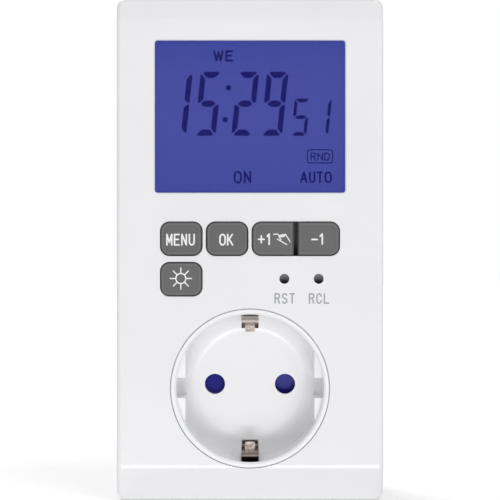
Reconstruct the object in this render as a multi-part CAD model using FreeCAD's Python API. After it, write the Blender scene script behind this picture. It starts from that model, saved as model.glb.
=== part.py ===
import FreeCAD
import Part
import math
import os

# Digital plug-in timer, in millimetres.
# X runs to the right, Y towards the wall and Z up.
# The origin is midway between the two plug pins, on the end face of the plug.

V = FreeCAD.Vector

# Casing
BODY_WIDTH = 70.0
BODY_HEIGHT = 132.0
SOCKET_ABOVE_BOTTOM = 29.6
BODY_DEPTH = 40.0
FRONT_SHELL_DEPTH = 24.0
WALL = 2.2
CORNER_R = 2.4
FRONT_EDGE_R = 1.2
REAR_EDGE_R = 2.0
SLOPE_ANGLE = math.radians(20.0)
BOTTOM_SLOPE = 8.6
TOP_SLOPE = 5.8
CREASE_R = 5.0
SEAM_CHAMFER = 0.25
LIP_HEIGHT = 1.6

# General clearances
CLEAR = 0.1
SEAT_GAP = 0.05
TOUCH_GAP = 0.2
LEAST_CORNER_R = 0.3

# Plug body and pins
PLUG_LENGTH = 17.0
PLUG_R = 18.6
PLUG_FLAT_X = 16.8
PLUG_RIB_WIDTH = 4.9
PLUG_CAVITY_R = 13.6
PLUG_END_WALL = 3.0
PLUG_EDGE_R = 1.0
PIN_SPACING = 19.0
PIN_R = 2.4
PIN_ROOT_R = 2.9
PIN_TAIL_R = 2.0
PIN_LENGTH = 19.0
PIN_TIP_R = 2.0
PIN_COLLAR_R = 3.5
PIN_COLLAR_T = 1.5
PIN_TAIL_LENGTH = 7.5
RETAINER_T = 2.8
RETAINER_HALF_WIDTH = 4.2
RETAINER_BOSS_R = 2.8

# Socket well
WELL_DEPTH = 17.5
WELL_R = 19.4
RIM_R = 20.8
RIM_CHAMFER = 0.5
APERTURE_GAP = 0.15
FLOOR_T = 3.0
FLOOR_BLEND_R = 5.0
SEGMENT_FLAT_X = 17.0
SEGMENT_SINK = 2.5
NOTCH_WIDTH = 5.3
PIN_HOLE_R = 2.75
INSERT_FLANGE_R = 23.0
INSERT_FLANGE_T = 1.8
EARTH_WINDOW_WIDTH = 4.6
EARTH_WINDOW_R = 15.1
EARTH_WINDOW_SINK = 1.6
PIVOT_R = 2.5
INSERT_BOSS_X = 13.5
INSERT_BOSS_R = 2.8
INSERT_BOSS_LENGTH = 6.0

# Shutter
SHUTTER_T = 2.0
SHUTTER_BLADE_R = 3.2
SHUTTER_HUB_R = 4.6
SHUTTER_ARM_WIDTH = 4.4
SHUTTER_RAMP = 1.3
SHUTTER_FIT = 0.06
SHUTTER_TAB_Z = 8.8
SHUTTER_TAB_R = 0.9
SPRING_T = 0.3
SPRING_WIDTH = 1.0
SPRING_LOOP_R = 3.3
SPRING_POST_R = 1.0

# Contacts, carrier and earth strips
CONTACT_T = 0.8
CONTACT_WIDTH = 7.6
CONTACT_GRIP_Z = 2.35
CONTACT_ARM_Z = 3.6
CONTACT_BEND_R = 0.9
CONTACT_HOLE_R = 3.0
CONTACT_TAG_X = 9.9
CONTACT_TAG_WIDTH = 3.2
CARRIER_R = 21.0
CARRIER_FLOOR_T = 1.1
CHAMBER_CLEAR_X = 0.3
CHAMBER_CLEAR_Z = 0.4
STRAP_CLEAR = 0.3
TOWER_WALL = 1.4
EARTH_T = 0.8
EARTH_TONGUE_WIDTH = 2.6
EARTH_STRIP_WIDTH = 4.4
EARTH_CREST_Z = 14.55
EARTH_CREST_DEPTH = 6.5
EARTH_HOOK_DEPTH = 0.4
EARTH_HOOK_Z = 18.9
EARTH_HOOK_R = 1.0
EARTH_TONGUE_REACH = 11.5
EARTH_SHOULDER_Z = 17.05
EARTH_TIP_Z = 15.6
EARTH_MID_Z = 18.0
EARTH_PLUG_Z = 15.8
EARTH_GROOVE_WIDTH = 6.2
BRIDGE_FROM_TOWER = 4.0
BRIDGE_FOOT = 3.6
STRAP_T = 0.8

# Display
WINDOW_SIDE_MARGIN = 10.0
WINDOW_TOP_MARGIN = 11.1
WINDOW_ABOVE_KEYS = 7.65
WINDOW_EDGE = 0.3
WINDOW_CORNER_R = 0.8
WINDOW_SINK = 0.5
WINDOW_FLANGE = 1.6
WINDOW_FLANGE_T = 1.2
WINDOW_GAP = 0.1
GLASS_MARGIN_X = 2.0
GLASS_MARGIN_TOP = 1.3
GLASS_MARGIN_BOTTOM = 2.5
GLASS_T = 2.6
FRAME_WALL = 1.2
FRAME_LEDGE = 1.2
FRAME_PEG = 1.4
GUIDE_FOOT = 2.4
ZEBRA_END_GAP = 3.0
ZEBRA_T = 1.5
LED_LENGTH = 3.0
LED_WIDTH = 1.1
LED_HEIGHT = 2.0
LED_OFFSET_Z = 8.0
LED_POCKET_CLEAR = 0.2

# Keys
KEY_WIDTH = 10.9
KEY_HEIGHT = 8.8
KEY_PITCH = 12.0
KEY_ROW_Z = 39.25
LIGHT_KEY_Z = 28.65
KEY_GAP = 0.15
KEY_PROUD = 0.5
KEY_CORNER_R = 2.4
KEY_INNER_CORNER_R = 0.5
KEY_EDGE = 0.4
KEY_DISH_INSET = 0.9
KEY_DISH_DEPTH = 0.15
KEY_FACE_T = 1.5
KEY_SKIRT_T = 1.2
KEY_SKIRT_BACK = 1.6
KEY_FLANGE_T = 1.0
KEY_FLANGE_REACH = 0.6
KEY_FLANGE_WIDTH = 6.6
KEY_STEM_WIDTH = 3.2
KEY_TRAVEL = 1.0
RESET_X = (9.0, 18.0)
RESET_Z = 28.73
RESET_HOLE_R = 1.3
RESET_GAP = 0.15
RESET_SINK = 0.9
RESET_CUP_R = 0.95
RESET_CUP_FLOOR_R = 0.2
RESET_CUP_DEPTH = 0.9
RESET_FLANGE_R = 2.0
MAT_T = 1.0
MAT_WIDTH = 50.0
MAT_BOTTOM_Z = 23.6
MAT_TOP_Z = 46.4
DOME_FLAT_T = 0.8
DOME_R = 3.2
DOME_TOP_R = 2.0
SMALL_DOME_R = 1.9
SMALL_DOME_TOP_R = 1.3

# Control board
BOARD_T = 1.6
BOARD_CORNER_R = 0.5
CONTROL_BOARD_DEPTH = 9.4
CONTROL_BOARD_SIDE_GAP = 1.8
CONTROL_BOARD_BOTTOM_Z = 17.5
CONTROL_BOARD_TOP_GAP = 1.0
CONTROL_BOARD_TAB_GAP = 1.6
CONTROL_BOARD_SHOULDER_GAP = 0.4
CONTROL_SCALLOP_R = 25.5
CONTROL_POST_X_INSET = 3.0
CONTROL_POST_RISE = 3.4
CONTROL_TAB_POST_INSET = 4.0
CONTROL_TAB_POST_DROP = 2.2
CONTROL_POST_R = 2.1
DRIVER_SIZE = 14.0
DRIVER_T = 1.6
DRIVER_ABOVE_CENTRE = 2.7
CRYSTAL_R = 1.0
CRYSTAL_LENGTH = 6.0
CRYSTAL_EDGE_INSET = 19.0
CRYSTAL_BELOW_CENTRE = 9.3
CELL_R = 5.8
CELL_T = 5.4
CELL_EDGE_INSET = 12.0
CELL_Z = 40.0

# Power board
POWER_POST_HEIGHT = 2.5
POWER_BOARD_SIDE_GAP = 3.8
POWER_BOARD_BOTTOM_Z = 25.0
POWER_BOARD_TOP_GAP = 8.2
POWER_POST_INSET = 3.5
POWER_POST_R = 2.4
PART_STANDOFF = 0.3
LEAD_WIDTH = 0.6
LEAD_CLEAR = 0.1
LEAD_THROUGH = 1.0
CAPACITOR_X = -15.0
CAPACITOR_DROP = 14.0
CAPACITOR_LENGTH = 18.0
CAPACITOR_WIDTH = 8.5
CAPACITOR_HEIGHT = 14.5
CAPACITOR_PITCH = 15.0
CAPACITOR_CORNER_R = 0.6
SMOOTHING_X = 7.0
SMOOTHING_DROP = 16.0
SMOOTHING_R = 4.0
SMOOTHING_HEIGHT = 12.0
SMOOTHING_PITCH = 3.5
DIODE_X = 18.0
DIODE_DROPS = (12.5, 17.0, 21.5, 26.0)
DIODE_R = 1.35
DIODE_LENGTH = 5.2
DIODE_PITCH = 10.0
RESISTOR_X = 17.0
RESISTOR_DROPS = (33.0, 37.5, 42.0)
RESISTOR_R = 1.2
RESISTOR_LENGTH = 6.5
RESISTOR_PITCH = 11.0
VARISTOR_X = -14.0
VARISTOR_DROP = 28.0
VARISTOR_R = 5.0
VARISTOR_T = 3.8
VARISTOR_PITCH = 5.0
RIBBON_WIDTH = 10.0
RIBBON_T = 0.9
RIBBON_X = -2.0
RIBBON_ABOVE_RELAY = 3.0
RIBBON_BOW = 4.0

# Relay
RELAY_X = -8.0
RELAY_RISE = 16.0
RELAY_LENGTH = 29.0
RELAY_WIDTH = 12.7
RELAY_HEIGHT = 15.7
RELAY_CASE_T = 0.8
RELAY_BASE_T = 2.5
RELAY_PIN_X = (-12.0, -3.0, 8.0, 12.0)
COIL_X = -7.0
COIL_R = 4.4
COIL_FLANGE_R = 5.2
COIL_FLANGE_T = 0.8
COIL_LENGTH = 9.0
YOKE_T = 1.2
YOKE_GAP = 0.4
ARMATURE_T = 1.1
ARMATURE_WIDTH = 9.0
ARMATURE_LIFT = 0.9
BLADE_T = 0.5
BLADE_WIDTH = 5.0
BLADE_LENGTH = 8.0
RELAY_CONTACT_R = 1.5
RELAY_CONTACT_T = 0.7
RELAY_CONTACT_GAP = 0.75

# Conductors between the contacts and the power board
BAR_T = 0.8
BAR_WIDTH = 3.0
BAR_BEND_R = 1.2
BAR_LIFT = 1.2
BAR_FOOT = 3.5
FEED_BAR_Z = 8.0
SIDE_BAR_X = 18.2

# Screws
CASE_SCREW_INSET = 3.2
CASE_BOSS_R = 3.0
CASE_SLEEVE_WALL = 1.2
CASE_SCREW_R = 1.4
CASE_SCREW_LENGTH = 16.0
CASE_HEAD_R = 2.8
CASE_HEAD_T = 1.9
CASE_HEAD_GAP = 0.3
CASE_SEAT_FROM_SEAM = 6.0
SMALL_SCREW_R = 1.0
SMALL_HEAD_R = 1.9
SMALL_HEAD_T = 1.3
SMALL_SCREW_LENGTH = 6.0
POWER_SCREW_LENGTH = 5.0
RETAINER_SCREW_LENGTH = 6.0
CARRIER_SCREW_BITE = 4.0
CARRIER_SEAT_DEPTH = 2.4

# Places worked out from the sizes above
OVER = 1.0
HALF_WIDTH = BODY_WIDTH / 2
BOTTOM_Z = -SOCKET_ABOVE_BOTTOM
TOP_Z = BODY_HEIGHT - SOCKET_ABOVE_BOTTOM
REAR_Y = -PLUG_LENGTH
FRONT_Y = REAR_Y - BODY_DEPTH
SEAM_Y = FRONT_Y + FRONT_SHELL_DEPTH
FRONT_INNER_Y = FRONT_Y + WALL
REAR_INNER_Y = REAR_Y - WALL
PIN_X = PIN_SPACING / 2
FLOOR_Y = FRONT_Y + WELL_DEPTH
FLOOR_BACK_Y = FLOOR_Y + FLOOR_T
APERTURE_R = RIM_R + APERTURE_GAP
CARRIER_BACK_Y = REAR_INNER_Y - CLEAR
CARRIER_FLOOR_Y = CARRIER_BACK_Y - CARRIER_FLOOR_T
SHUTTER_FRONT_Y = FLOOR_BACK_Y + CLEAR
SHUTTER_BACK_Y = SHUTTER_FRONT_Y + SHUTTER_T
TOWER_FRONT_Y = SHUTTER_BACK_Y + TOUCH_GAP
CONTACT_BASE_Y = CARRIER_FLOOR_Y - SEAT_GAP - CONTACT_T / 2
EARTH_OUTER_Z = EARTH_MID_Z + EARTH_T / 2
BRIDGE_Y = TOWER_FRONT_Y + BRIDGE_FROM_TOWER
WINDOW_HALF_X = HALF_WIDTH - WINDOW_SIDE_MARGIN
WINDOW_BOTTOM_Z = KEY_ROW_Z + KEY_HEIGHT / 2 + WINDOW_ABOVE_KEYS
WINDOW_TOP_Z = TOP_Z - WINDOW_TOP_MARGIN
WINDOW_CENTRE_Z = (WINDOW_BOTTOM_Z + WINDOW_TOP_Z) / 2
WINDOW_BACK_Y = FRONT_INNER_Y + WINDOW_FLANGE_T
GLASS_FRONT_Y = WINDOW_BACK_Y + CLEAR
GLASS_BACK_Y = GLASS_FRONT_Y + GLASS_T
GLASS_HALF_X = WINDOW_HALF_X + GLASS_MARGIN_X
GLASS_BOTTOM_Z = WINDOW_BOTTOM_Z - GLASS_MARGIN_BOTTOM
GLASS_TOP_Z = WINDOW_TOP_Z + GLASS_MARGIN_TOP
FRAME_HALF_X = GLASS_HALF_X + CLEAR + FRAME_WALL
FRAME_BOTTOM_Z = GLASS_BOTTOM_Z - CLEAR - FRAME_WALL
FRAME_TOP_Z = GLASS_TOP_Z + CLEAR + FRAME_WALL
GUIDE_HALF_X = GLASS_HALF_X - FRAME_LEDGE
GUIDE_BOTTOM_Z = GLASS_BOTTOM_Z + GUIDE_FOOT
GUIDE_TOP_Z = GLASS_TOP_Z - FRAME_LEDGE
ZEBRA_Z = GLASS_BOTTOM_Z + GUIDE_FOOT / 2
ZEBRA_HALF_X = GLASS_HALF_X - ZEBRA_END_GAP
CONTROL_FRONT_Y = FRONT_Y + CONTROL_BOARD_DEPTH
CONTROL_BACK_Y = CONTROL_FRONT_Y + BOARD_T
PEG_X = (GUIDE_HALF_X + FRAME_HALF_X) / 2
PEG_PLACES = tuple(
    (side * PEG_X, z)
    for side in (-1, 1)
    for z in (GLASS_BOTTOM_Z + FRAME_PEG, GLASS_TOP_Z - FRAME_PEG)
)
KEY_FRONT_Y = FRONT_Y - KEY_PROUD
KEY_FLANGE_Y = FRONT_INNER_Y + CLEAR
KEY_SKIRT_Y = KEY_FLANGE_Y + KEY_SKIRT_BACK
MAT_FRONT_Y = CONTROL_FRONT_Y - MAT_T
DOME_TOP_Y = MAT_FRONT_Y - KEY_TRAVEL - DOME_FLAT_T
KEY_STEM_Y = DOME_TOP_Y - TOUCH_GAP
KEYS = {
    "key_menu": (-1.5 * KEY_PITCH, KEY_ROW_Z),
    "key_ok": (-0.5 * KEY_PITCH, KEY_ROW_Z),
    "key_plus": (0.5 * KEY_PITCH, KEY_ROW_Z),
    "key_minus": (1.5 * KEY_PITCH, KEY_ROW_Z),
    "key_light": (-1.5 * KEY_PITCH, LIGHT_KEY_Z),
}
RESET_KEYS = {"reset_key": RESET_X[0], "recall_key": RESET_X[1]}
POWER_BOARD_HALF_X = HALF_WIDTH - WALL - POWER_BOARD_SIDE_GAP
POWER_BOARD_TOP_Z = TOP_Z - WALL - POWER_BOARD_TOP_GAP
POWER_POSTS = tuple(
    (side * (POWER_BOARD_HALF_X - POWER_POST_INSET), z)
    for z in (POWER_BOARD_BOTTOM_Z + POWER_POST_INSET, POWER_BOARD_TOP_Z - POWER_POST_INSET)
    for side in (-1, 1)
)
CAPACITOR_Z = POWER_BOARD_TOP_Z - CAPACITOR_DROP
SMOOTHING_Z = POWER_BOARD_TOP_Z - SMOOTHING_DROP
VARISTOR_Z = POWER_BOARD_TOP_Z - VARISTOR_DROP
DIODE_Z = tuple(POWER_BOARD_TOP_Z - drop for drop in DIODE_DROPS)
RESISTOR_Z = tuple(POWER_BOARD_TOP_Z - drop for drop in RESISTOR_DROPS)
RELAY_Z = POWER_BOARD_BOTTOM_Z + RELAY_RISE
RIBBON_Z = RELAY_Z + RELAY_WIDTH / 2 + RIBBON_ABOVE_RELAY
POWER_BACK_Y = REAR_INNER_Y - POWER_POST_HEIGHT
POWER_FRONT_Y = POWER_BACK_Y - BOARD_T
PART_BACK_Y = POWER_FRONT_Y - PART_STANDOFF
LEAD_END_Y = POWER_BACK_Y + LEAD_THROUGH
RELAY_FRONT_Y = PART_BACK_Y - RELAY_HEIGHT
RELAY_BASE_Y = PART_BACK_Y - RELAY_BASE_T
COIL_CENTRE_X = RELAY_X + COIL_X
COIL_FRONT_Y = RELAY_BASE_Y - SEAT_GAP - COIL_LENGTH
YOKE_X = COIL_CENTRE_X + COIL_FLANGE_R + YOKE_GAP
ARMATURE_BACK_Y = COIL_FRONT_Y - ARMATURE_LIFT
BLADE_X = YOKE_X + YOKE_T + YOKE_GAP
CASE_SCREW_X = HALF_WIDTH - WALL - CASE_SCREW_INSET
CASE_SCREWS = tuple(
    (side * CASE_SCREW_X, z)
    for side in (-1, 1)
    for z in (BOTTOM_Z + WALL + CASE_SCREW_INSET, TOP_Z - WALL - CASE_SCREW_INSET)
)
CASE_SEAT_Y = SEAM_Y + CASE_SEAT_FROM_SEAM
CONTROL_BOARD_HALF_X = HALF_WIDTH - WALL - CONTROL_BOARD_SIDE_GAP
CRYSTAL_X = CONTROL_BOARD_HALF_X - CRYSTAL_EDGE_INSET
CELL_X = CONTROL_BOARD_HALF_X - CELL_EDGE_INSET
CONTROL_BOARD_TOP_Z = TOP_Z - WALL - CONTROL_BOARD_TOP_GAP
CONTROL_TAB_HALF_X = CASE_SCREW_X - CASE_BOSS_R - CONTROL_BOARD_TAB_GAP
CONTROL_SHOULDER_Z = CASE_SCREWS[-1][1] - CASE_BOSS_R - CONTROL_BOARD_SHOULDER_GAP
CONTROL_POSTS = tuple(
    (side * x, z)
    for x, z in (
        (CONTROL_BOARD_HALF_X - CONTROL_POST_X_INSET, CONTROL_BOARD_BOTTOM_Z + CONTROL_POST_RISE),
        (CONTROL_TAB_HALF_X - CONTROL_TAB_POST_INSET, CONTROL_BOARD_TOP_Z - CONTROL_TAB_POST_DROP),
    )
    for side in (-1, 1)
)
INSERT_BOSSES = tuple((side * INSERT_BOSS_X, -side * INSERT_BOSS_X) for side in (-1, 1))
INSERT_BOSS_Y = FLOOR_BACK_Y + INSERT_BOSS_LENGTH
CARRIER_SEAT_Y = CARRIER_BACK_Y - CARRIER_SEAT_DEPTH
CARRIER_SCREW_LENGTH = CARRIER_SEAT_Y - INSERT_BOSS_Y + CARRIER_SCREW_BITE
RETAINER_BACK_Y = -PLUG_END_WALL - PIN_COLLAR_T - CLEAR
RETAINER_SCREWS = ((0.0, 0.0),)
SLEEVE_R = CASE_HEAD_R + CASE_HEAD_GAP + CASE_SLEEVE_WALL
PIN_TAIL_Y = -PLUG_END_WALL - PIN_COLLAR_T - PIN_TAIL_LENGTH


# Shape helpers
def box(x0, x1, y0, y1, z0, z1):
    """Box between two corners."""
    return Part.makeBox(x1 - x0, y1 - y0, z1 - z0, V(x0, y0, z0))


def rod_y(radius, y0, y1, x=0.0, z=0.0):
    """Cylinder along Y."""
    return Part.makeCylinder(radius, y1 - y0, V(x, y0, z), V(0, 1, 0))


def square_post(width, y0, y1, x, z):
    """Square bar along Y."""
    half = width / 2
    return box(x - half, x + half, y0, y1, z - half, z + half)


def rod_x(radius, x0, x1, y, z):
    """Cylinder along X."""
    return Part.makeCylinder(radius, x1 - x0, V(x0, y, z), V(1, 0, 0))


def cone_y(radius0, radius1, y0, y1, x, z):
    """Cone along Y, from radius0 at y0 to radius1 at y1."""
    return Part.makeCone(radius0, radius1, y1 - y0, V(x, y0, z), V(0, 1, 0))


def mirrored(shape, normal):
    """Copy of a shape on the other side of the plane through the origin."""
    return shape.mirror(V(0, 0, 0), normal)


def joined(shapes):
    """One shape made of several that overlap."""
    first = shapes[0]
    rest = shapes[1:]
    if rest:
        first = first.fuse(rest)
    return first.removeSplitter()


def cut_all(shape, tools):
    """Shape with every tool taken away."""
    return shape.cut(tools)


def rounded_loop(points, radii):
    """Closed wire through points, each corner rounded by its own radius."""
    count = len(points)
    arrivals = []
    departures = []
    middles = []
    for i, corner in enumerate(points):
        before = (points[i - 1] - corner).normalize()
        after = (points[(i + 1) % count] - corner).normalize()
        half = before.getAngle(after) / 2
        radius = radii[i]
        reach = radius / math.tan(half)
        middle = (before + after).normalize()
        arrivals.append(corner + before * reach)
        departures.append(corner + after * reach)
        middles.append(corner + middle * (radius / math.sin(half) - radius))
    edges = []
    for i in range(count):
        if radii[i] > 0:
            edges.append(Part.Arc(arrivals[i], middles[i], departures[i]).toShape())
        following = arrivals[(i + 1) % count]
        if departures[i].distanceToPoint(following) > 1e-6:
            edges.append(Part.LineSegment(departures[i], following).toShape())
    return Part.Wire(edges)


def plate(corners, radii, y0, y1):
    """Flat plate across Y, from its corners in X and Z."""
    points = [V(x, y0, z) for x, z in corners]
    if not isinstance(radii, tuple):
        radii = (radii,) * len(points)
    return Part.Face(rounded_loop(points, radii)).extrude(V(0, y1 - y0, 0))


def rectangle_plate(x0, x1, z0, z1, radii, y0, y1):
    """Rectangular plate across Y with rounded corners, from the lower left one round."""
    return plate(((x0, z0), (x1, z0), (x1, z1), (x0, z1)), radii, y0, y1)


def strip_outline(path, bend_r, thickness):
    """Corners and corner radii of a strip of even thickness along a middle line in a plane."""
    half = thickness / 2
    points = [V(a, b, 0) for a, b in path]
    runs = [(after - before).normalize() for before, after in zip(points, points[1:])]
    sides = [V(-run.y, run.x, 0) for run in runs]
    left = [points[0] + sides[0] * half]
    right = [points[0] - sides[0] * half]
    left_radii = [0.0]
    right_radii = [0.0]
    for i in range(1, len(points) - 1):
        mitre = (sides[i - 1] + sides[i]) * (half / (1 + sides[i - 1].dot(sides[i])))
        turns_left = runs[i].dot(sides[i - 1]) > 0
        left.append(points[i] + mitre)
        right.append(points[i] - mitre)
        left_radii.append(bend_r - half if turns_left else bend_r + half)
        right_radii.append(bend_r + half if turns_left else bend_r - half)
    left.append(points[-1] + sides[-1] * half)
    right.append(points[-1] - sides[-1] * half)
    left_radii.append(0.0)
    right_radii.append(0.0)
    corners = [(point.x, point.y) for point in left + right[::-1]]
    return corners, tuple(left_radii + right_radii[::-1])


def bent_strip(path, bend_r, thickness, x0, x1):
    """Sheet metal strip whose middle line runs through path in Y and Z."""
    corners, radii = strip_outline(path, bend_r, thickness)
    points = [V(x0, y, z) for y, z in corners]
    return Part.Face(rounded_loop(points, radii)).extrude(V(x1 - x0, 0, 0))


def turned(profile, x=0.0):
    """Solid turned about the line along Y at x, from corners given by radius, Y and rounding."""
    corners = [V(radius, y, 0) for radius, y, rounding in profile]
    roundings = [rounding for radius, y, rounding in profile]
    form = Part.Face(rounded_loop(corners, roundings)).revolve(V(0, 0, 0), V(0, 1, 0), 360)
    form.translate(V(x, 0, 0))
    return form


def screw(head_r, head_t, shank_r, shank_length, x, z, seat_y, towards):
    """Screw along Y with its head on seat_y and its shank running towards -1 or 1."""
    head_ys = sorted((seat_y, seat_y - towards * head_t))
    shank_ys = sorted((seat_y, seat_y + towards * shank_length))
    head = rod_y(head_r, head_ys[0], head_ys[1], x, z)
    return joined([head, rod_y(shank_r, shank_ys[0], shank_ys[1], x, z)])


def rim_edges(shape, direction):
    """Edges round the faces that look along Y in the given direction."""
    seen = []
    for face in shape.Faces:
        u, v = face.Surface.parameter(face.CenterOfMass)
        if face.normalAt(u, v).y * direction > 0.5:
            seen += face.Edges
    return [edge for edge in seen if sum(1 for other in seen if other.isSame(edge)) == 1]


# Casing
def casing_block(inset, y0, y1):
    """Outer form of the casing drawn in by inset, with its sloped ends at the front."""
    corner = max(CORNER_R - inset, LEAST_CORNER_R)
    half_x = HALF_WIDTH - inset
    low = BOTTOM_Z + inset
    high = TOP_Z - inset
    form = rectangle_plate(-half_x, half_x, low, high, corner, y0, y1)
    face_y = FRONT_Y + inset
    shift = inset * math.tan(SLOPE_ANGLE / 2)
    rise = math.tan(SLOPE_ANGLE)
    for end, away, crease in (
        (BOTTOM_Z, -1, BOTTOM_Z + BOTTOM_SLOPE + shift),
        (TOP_Z, 1, TOP_Z - TOP_SLOPE - shift),
    ):
        far = end + away * OVER
        reach = abs(far - crease)
        corners = (
            V(-HALF_WIDTH - OVER, face_y - OVER, crease - away * OVER / rise),
            V(-HALF_WIDTH - OVER, face_y + reach * rise, far),
            V(-HALF_WIDTH - OVER, face_y - OVER, far),
        )
        wedge = Part.Face(Part.makePolygon(corners + corners[:1]))
        form = form.cut(wedge.extrude(V(BODY_WIDTH + 2 * OVER, 0, 0)))
    return form


def front_outer():
    """Outer form of the front shell with its creases, rim and seam edge eased."""
    form = casing_block(0.0, FRONT_Y, SEAM_Y)
    creases = [
        edge
        for edge in form.Edges
        if abs(edge.BoundBox.YMax - FRONT_Y) < 1e-6 and edge.BoundBox.XLength > BODY_WIDTH / 2
    ]
    form = form.makeFillet(CREASE_R, creases)
    form = form.makeFillet(FRONT_EDGE_R, rim_edges(form, -1))
    return form.makeChamfer(SEAM_CHAMFER, rim_edges(form, 1))


def key_outline(name):
    """Left and right edges and the corner radii of one key, from the lower left corner round."""
    x, z = KEYS[name]
    left_r = KEY_INNER_CORNER_R if name == "key_minus" else KEY_CORNER_R
    right_r = KEY_INNER_CORNER_R if name == "key_plus" else KEY_CORNER_R
    return x - KEY_WIDTH / 2, x + KEY_WIDTH / 2, z, (left_r, right_r, right_r, left_r)


def key_openings():
    """Openings for the keys; the plus and minus keys share one."""
    spans = [key_outline(name)[:3] for name in ("key_menu", "key_ok", "key_light")]
    plus = key_outline("key_plus")
    minus = key_outline("key_minus")
    spans.append((plus[0], minus[1], plus[2]))
    half = KEY_HEIGHT / 2 + KEY_GAP
    tools = []
    for x0, x1, z in spans:
        tools.append(
            rectangle_plate(
                x0 - KEY_GAP,
                x1 + KEY_GAP,
                z - half,
                z + half,
                KEY_CORNER_R + KEY_GAP,
                FRONT_Y - OVER,
                FRONT_INNER_Y + OVER,
            )
        )
    for x in RESET_X:
        tools.append(rod_y(RESET_HOLE_R, FRONT_Y - OVER, FRONT_INNER_Y + OVER, x, RESET_Z))
    return tools


def window_block(margin, y0, y1):
    """Display window outline grown by margin on every side."""
    half_x = WINDOW_HALF_X + margin
    low = WINDOW_BOTTOM_Z - margin
    high = WINDOW_TOP_Z + margin
    corner = max(WINDOW_CORNER_R + margin, LEAST_CORNER_R)
    return rectangle_plate(-half_x, half_x, low, high, corner, y0, y1)


def window_edges(shell):
    """Front edges of the display opening."""
    edges = []
    for edge in shell.Edges:
        reach = edge.BoundBox
        across = max(abs(reach.XMin), abs(reach.XMax)) < WINDOW_HALF_X + WINDOW_GAP
        upright = WINDOW_BOTTOM_Z - WINDOW_GAP < reach.ZMin and reach.ZMax < WINDOW_TOP_Z + WINDOW_GAP
        if across and upright and reach.YMax < FRONT_Y + WINDOW_GAP:
            edges.append(edge)
    return edges


def front_housing():
    """Front shell with its openings, screw bosses and board posts."""
    shell = front_outer().cut(casing_block(WALL, FRONT_INNER_Y, SEAM_Y + OVER))
    rebate_y = SEAM_Y - LIP_HEIGHT - CLEAR
    rebate = casing_block(WALL / 2, rebate_y, SEAM_Y + OVER)
    shell = shell.cut(rebate)
    bosses = [rod_y(CASE_BOSS_R, FRONT_Y, SEAM_Y - CLEAR, x, z) for x, z in CASE_SCREWS]
    post_y = CONTROL_FRONT_Y - SEAT_GAP
    bosses += [rod_y(CONTROL_POST_R, FRONT_Y, post_y, x, z) for x, z in CONTROL_POSTS]
    within = casing_block(WALL / 2, FRONT_Y + WALL / 2, SEAM_Y)
    shell = joined([shell] + [boss.common(within) for boss in bosses])
    tools = [rod_y(APERTURE_R, FRONT_Y - OVER, FRONT_INNER_Y + OVER)]
    tools.append(window_block(0.0, FRONT_Y - OVER, FRONT_INNER_Y + OVER))
    tools += key_openings()
    for x, z in CASE_SCREWS:
        tools.append(rod_y(CASE_SCREW_R + SEAT_GAP, CASE_SEAT_Y - CASE_SCREW_LENGTH - OVER, SEAM_Y, x, z))
    pilot_y = CONTROL_BACK_Y - SMALL_SCREW_LENGTH - CLEAR
    for x, z in CONTROL_POSTS:
        tools.append(rod_y(SMALL_SCREW_R + SEAT_GAP, pilot_y, CONTROL_FRONT_Y, x, z))
    shell = cut_all(shell, tools)
    return shell.makeChamfer(WINDOW_EDGE, window_edges(shell))


def plug_form():
    """Plug body: a round bar with side flats and a guide rib in the middle of each."""
    bar = rod_y(PLUG_R, REAR_Y - WALL, 0)
    middle = box(-PLUG_FLAT_X, PLUG_FLAT_X, REAR_Y - WALL, 0, -PLUG_R, PLUG_R)
    ribs = box(-PLUG_R, PLUG_R, REAR_Y - WALL, 0, -PLUG_RIB_WIDTH / 2, PLUG_RIB_WIDTH / 2)
    form = bar.common(middle.fuse(ribs).removeSplitter())
    return form.makeFillet(PLUG_EDGE_R, rim_edges(form, 1))


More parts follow.
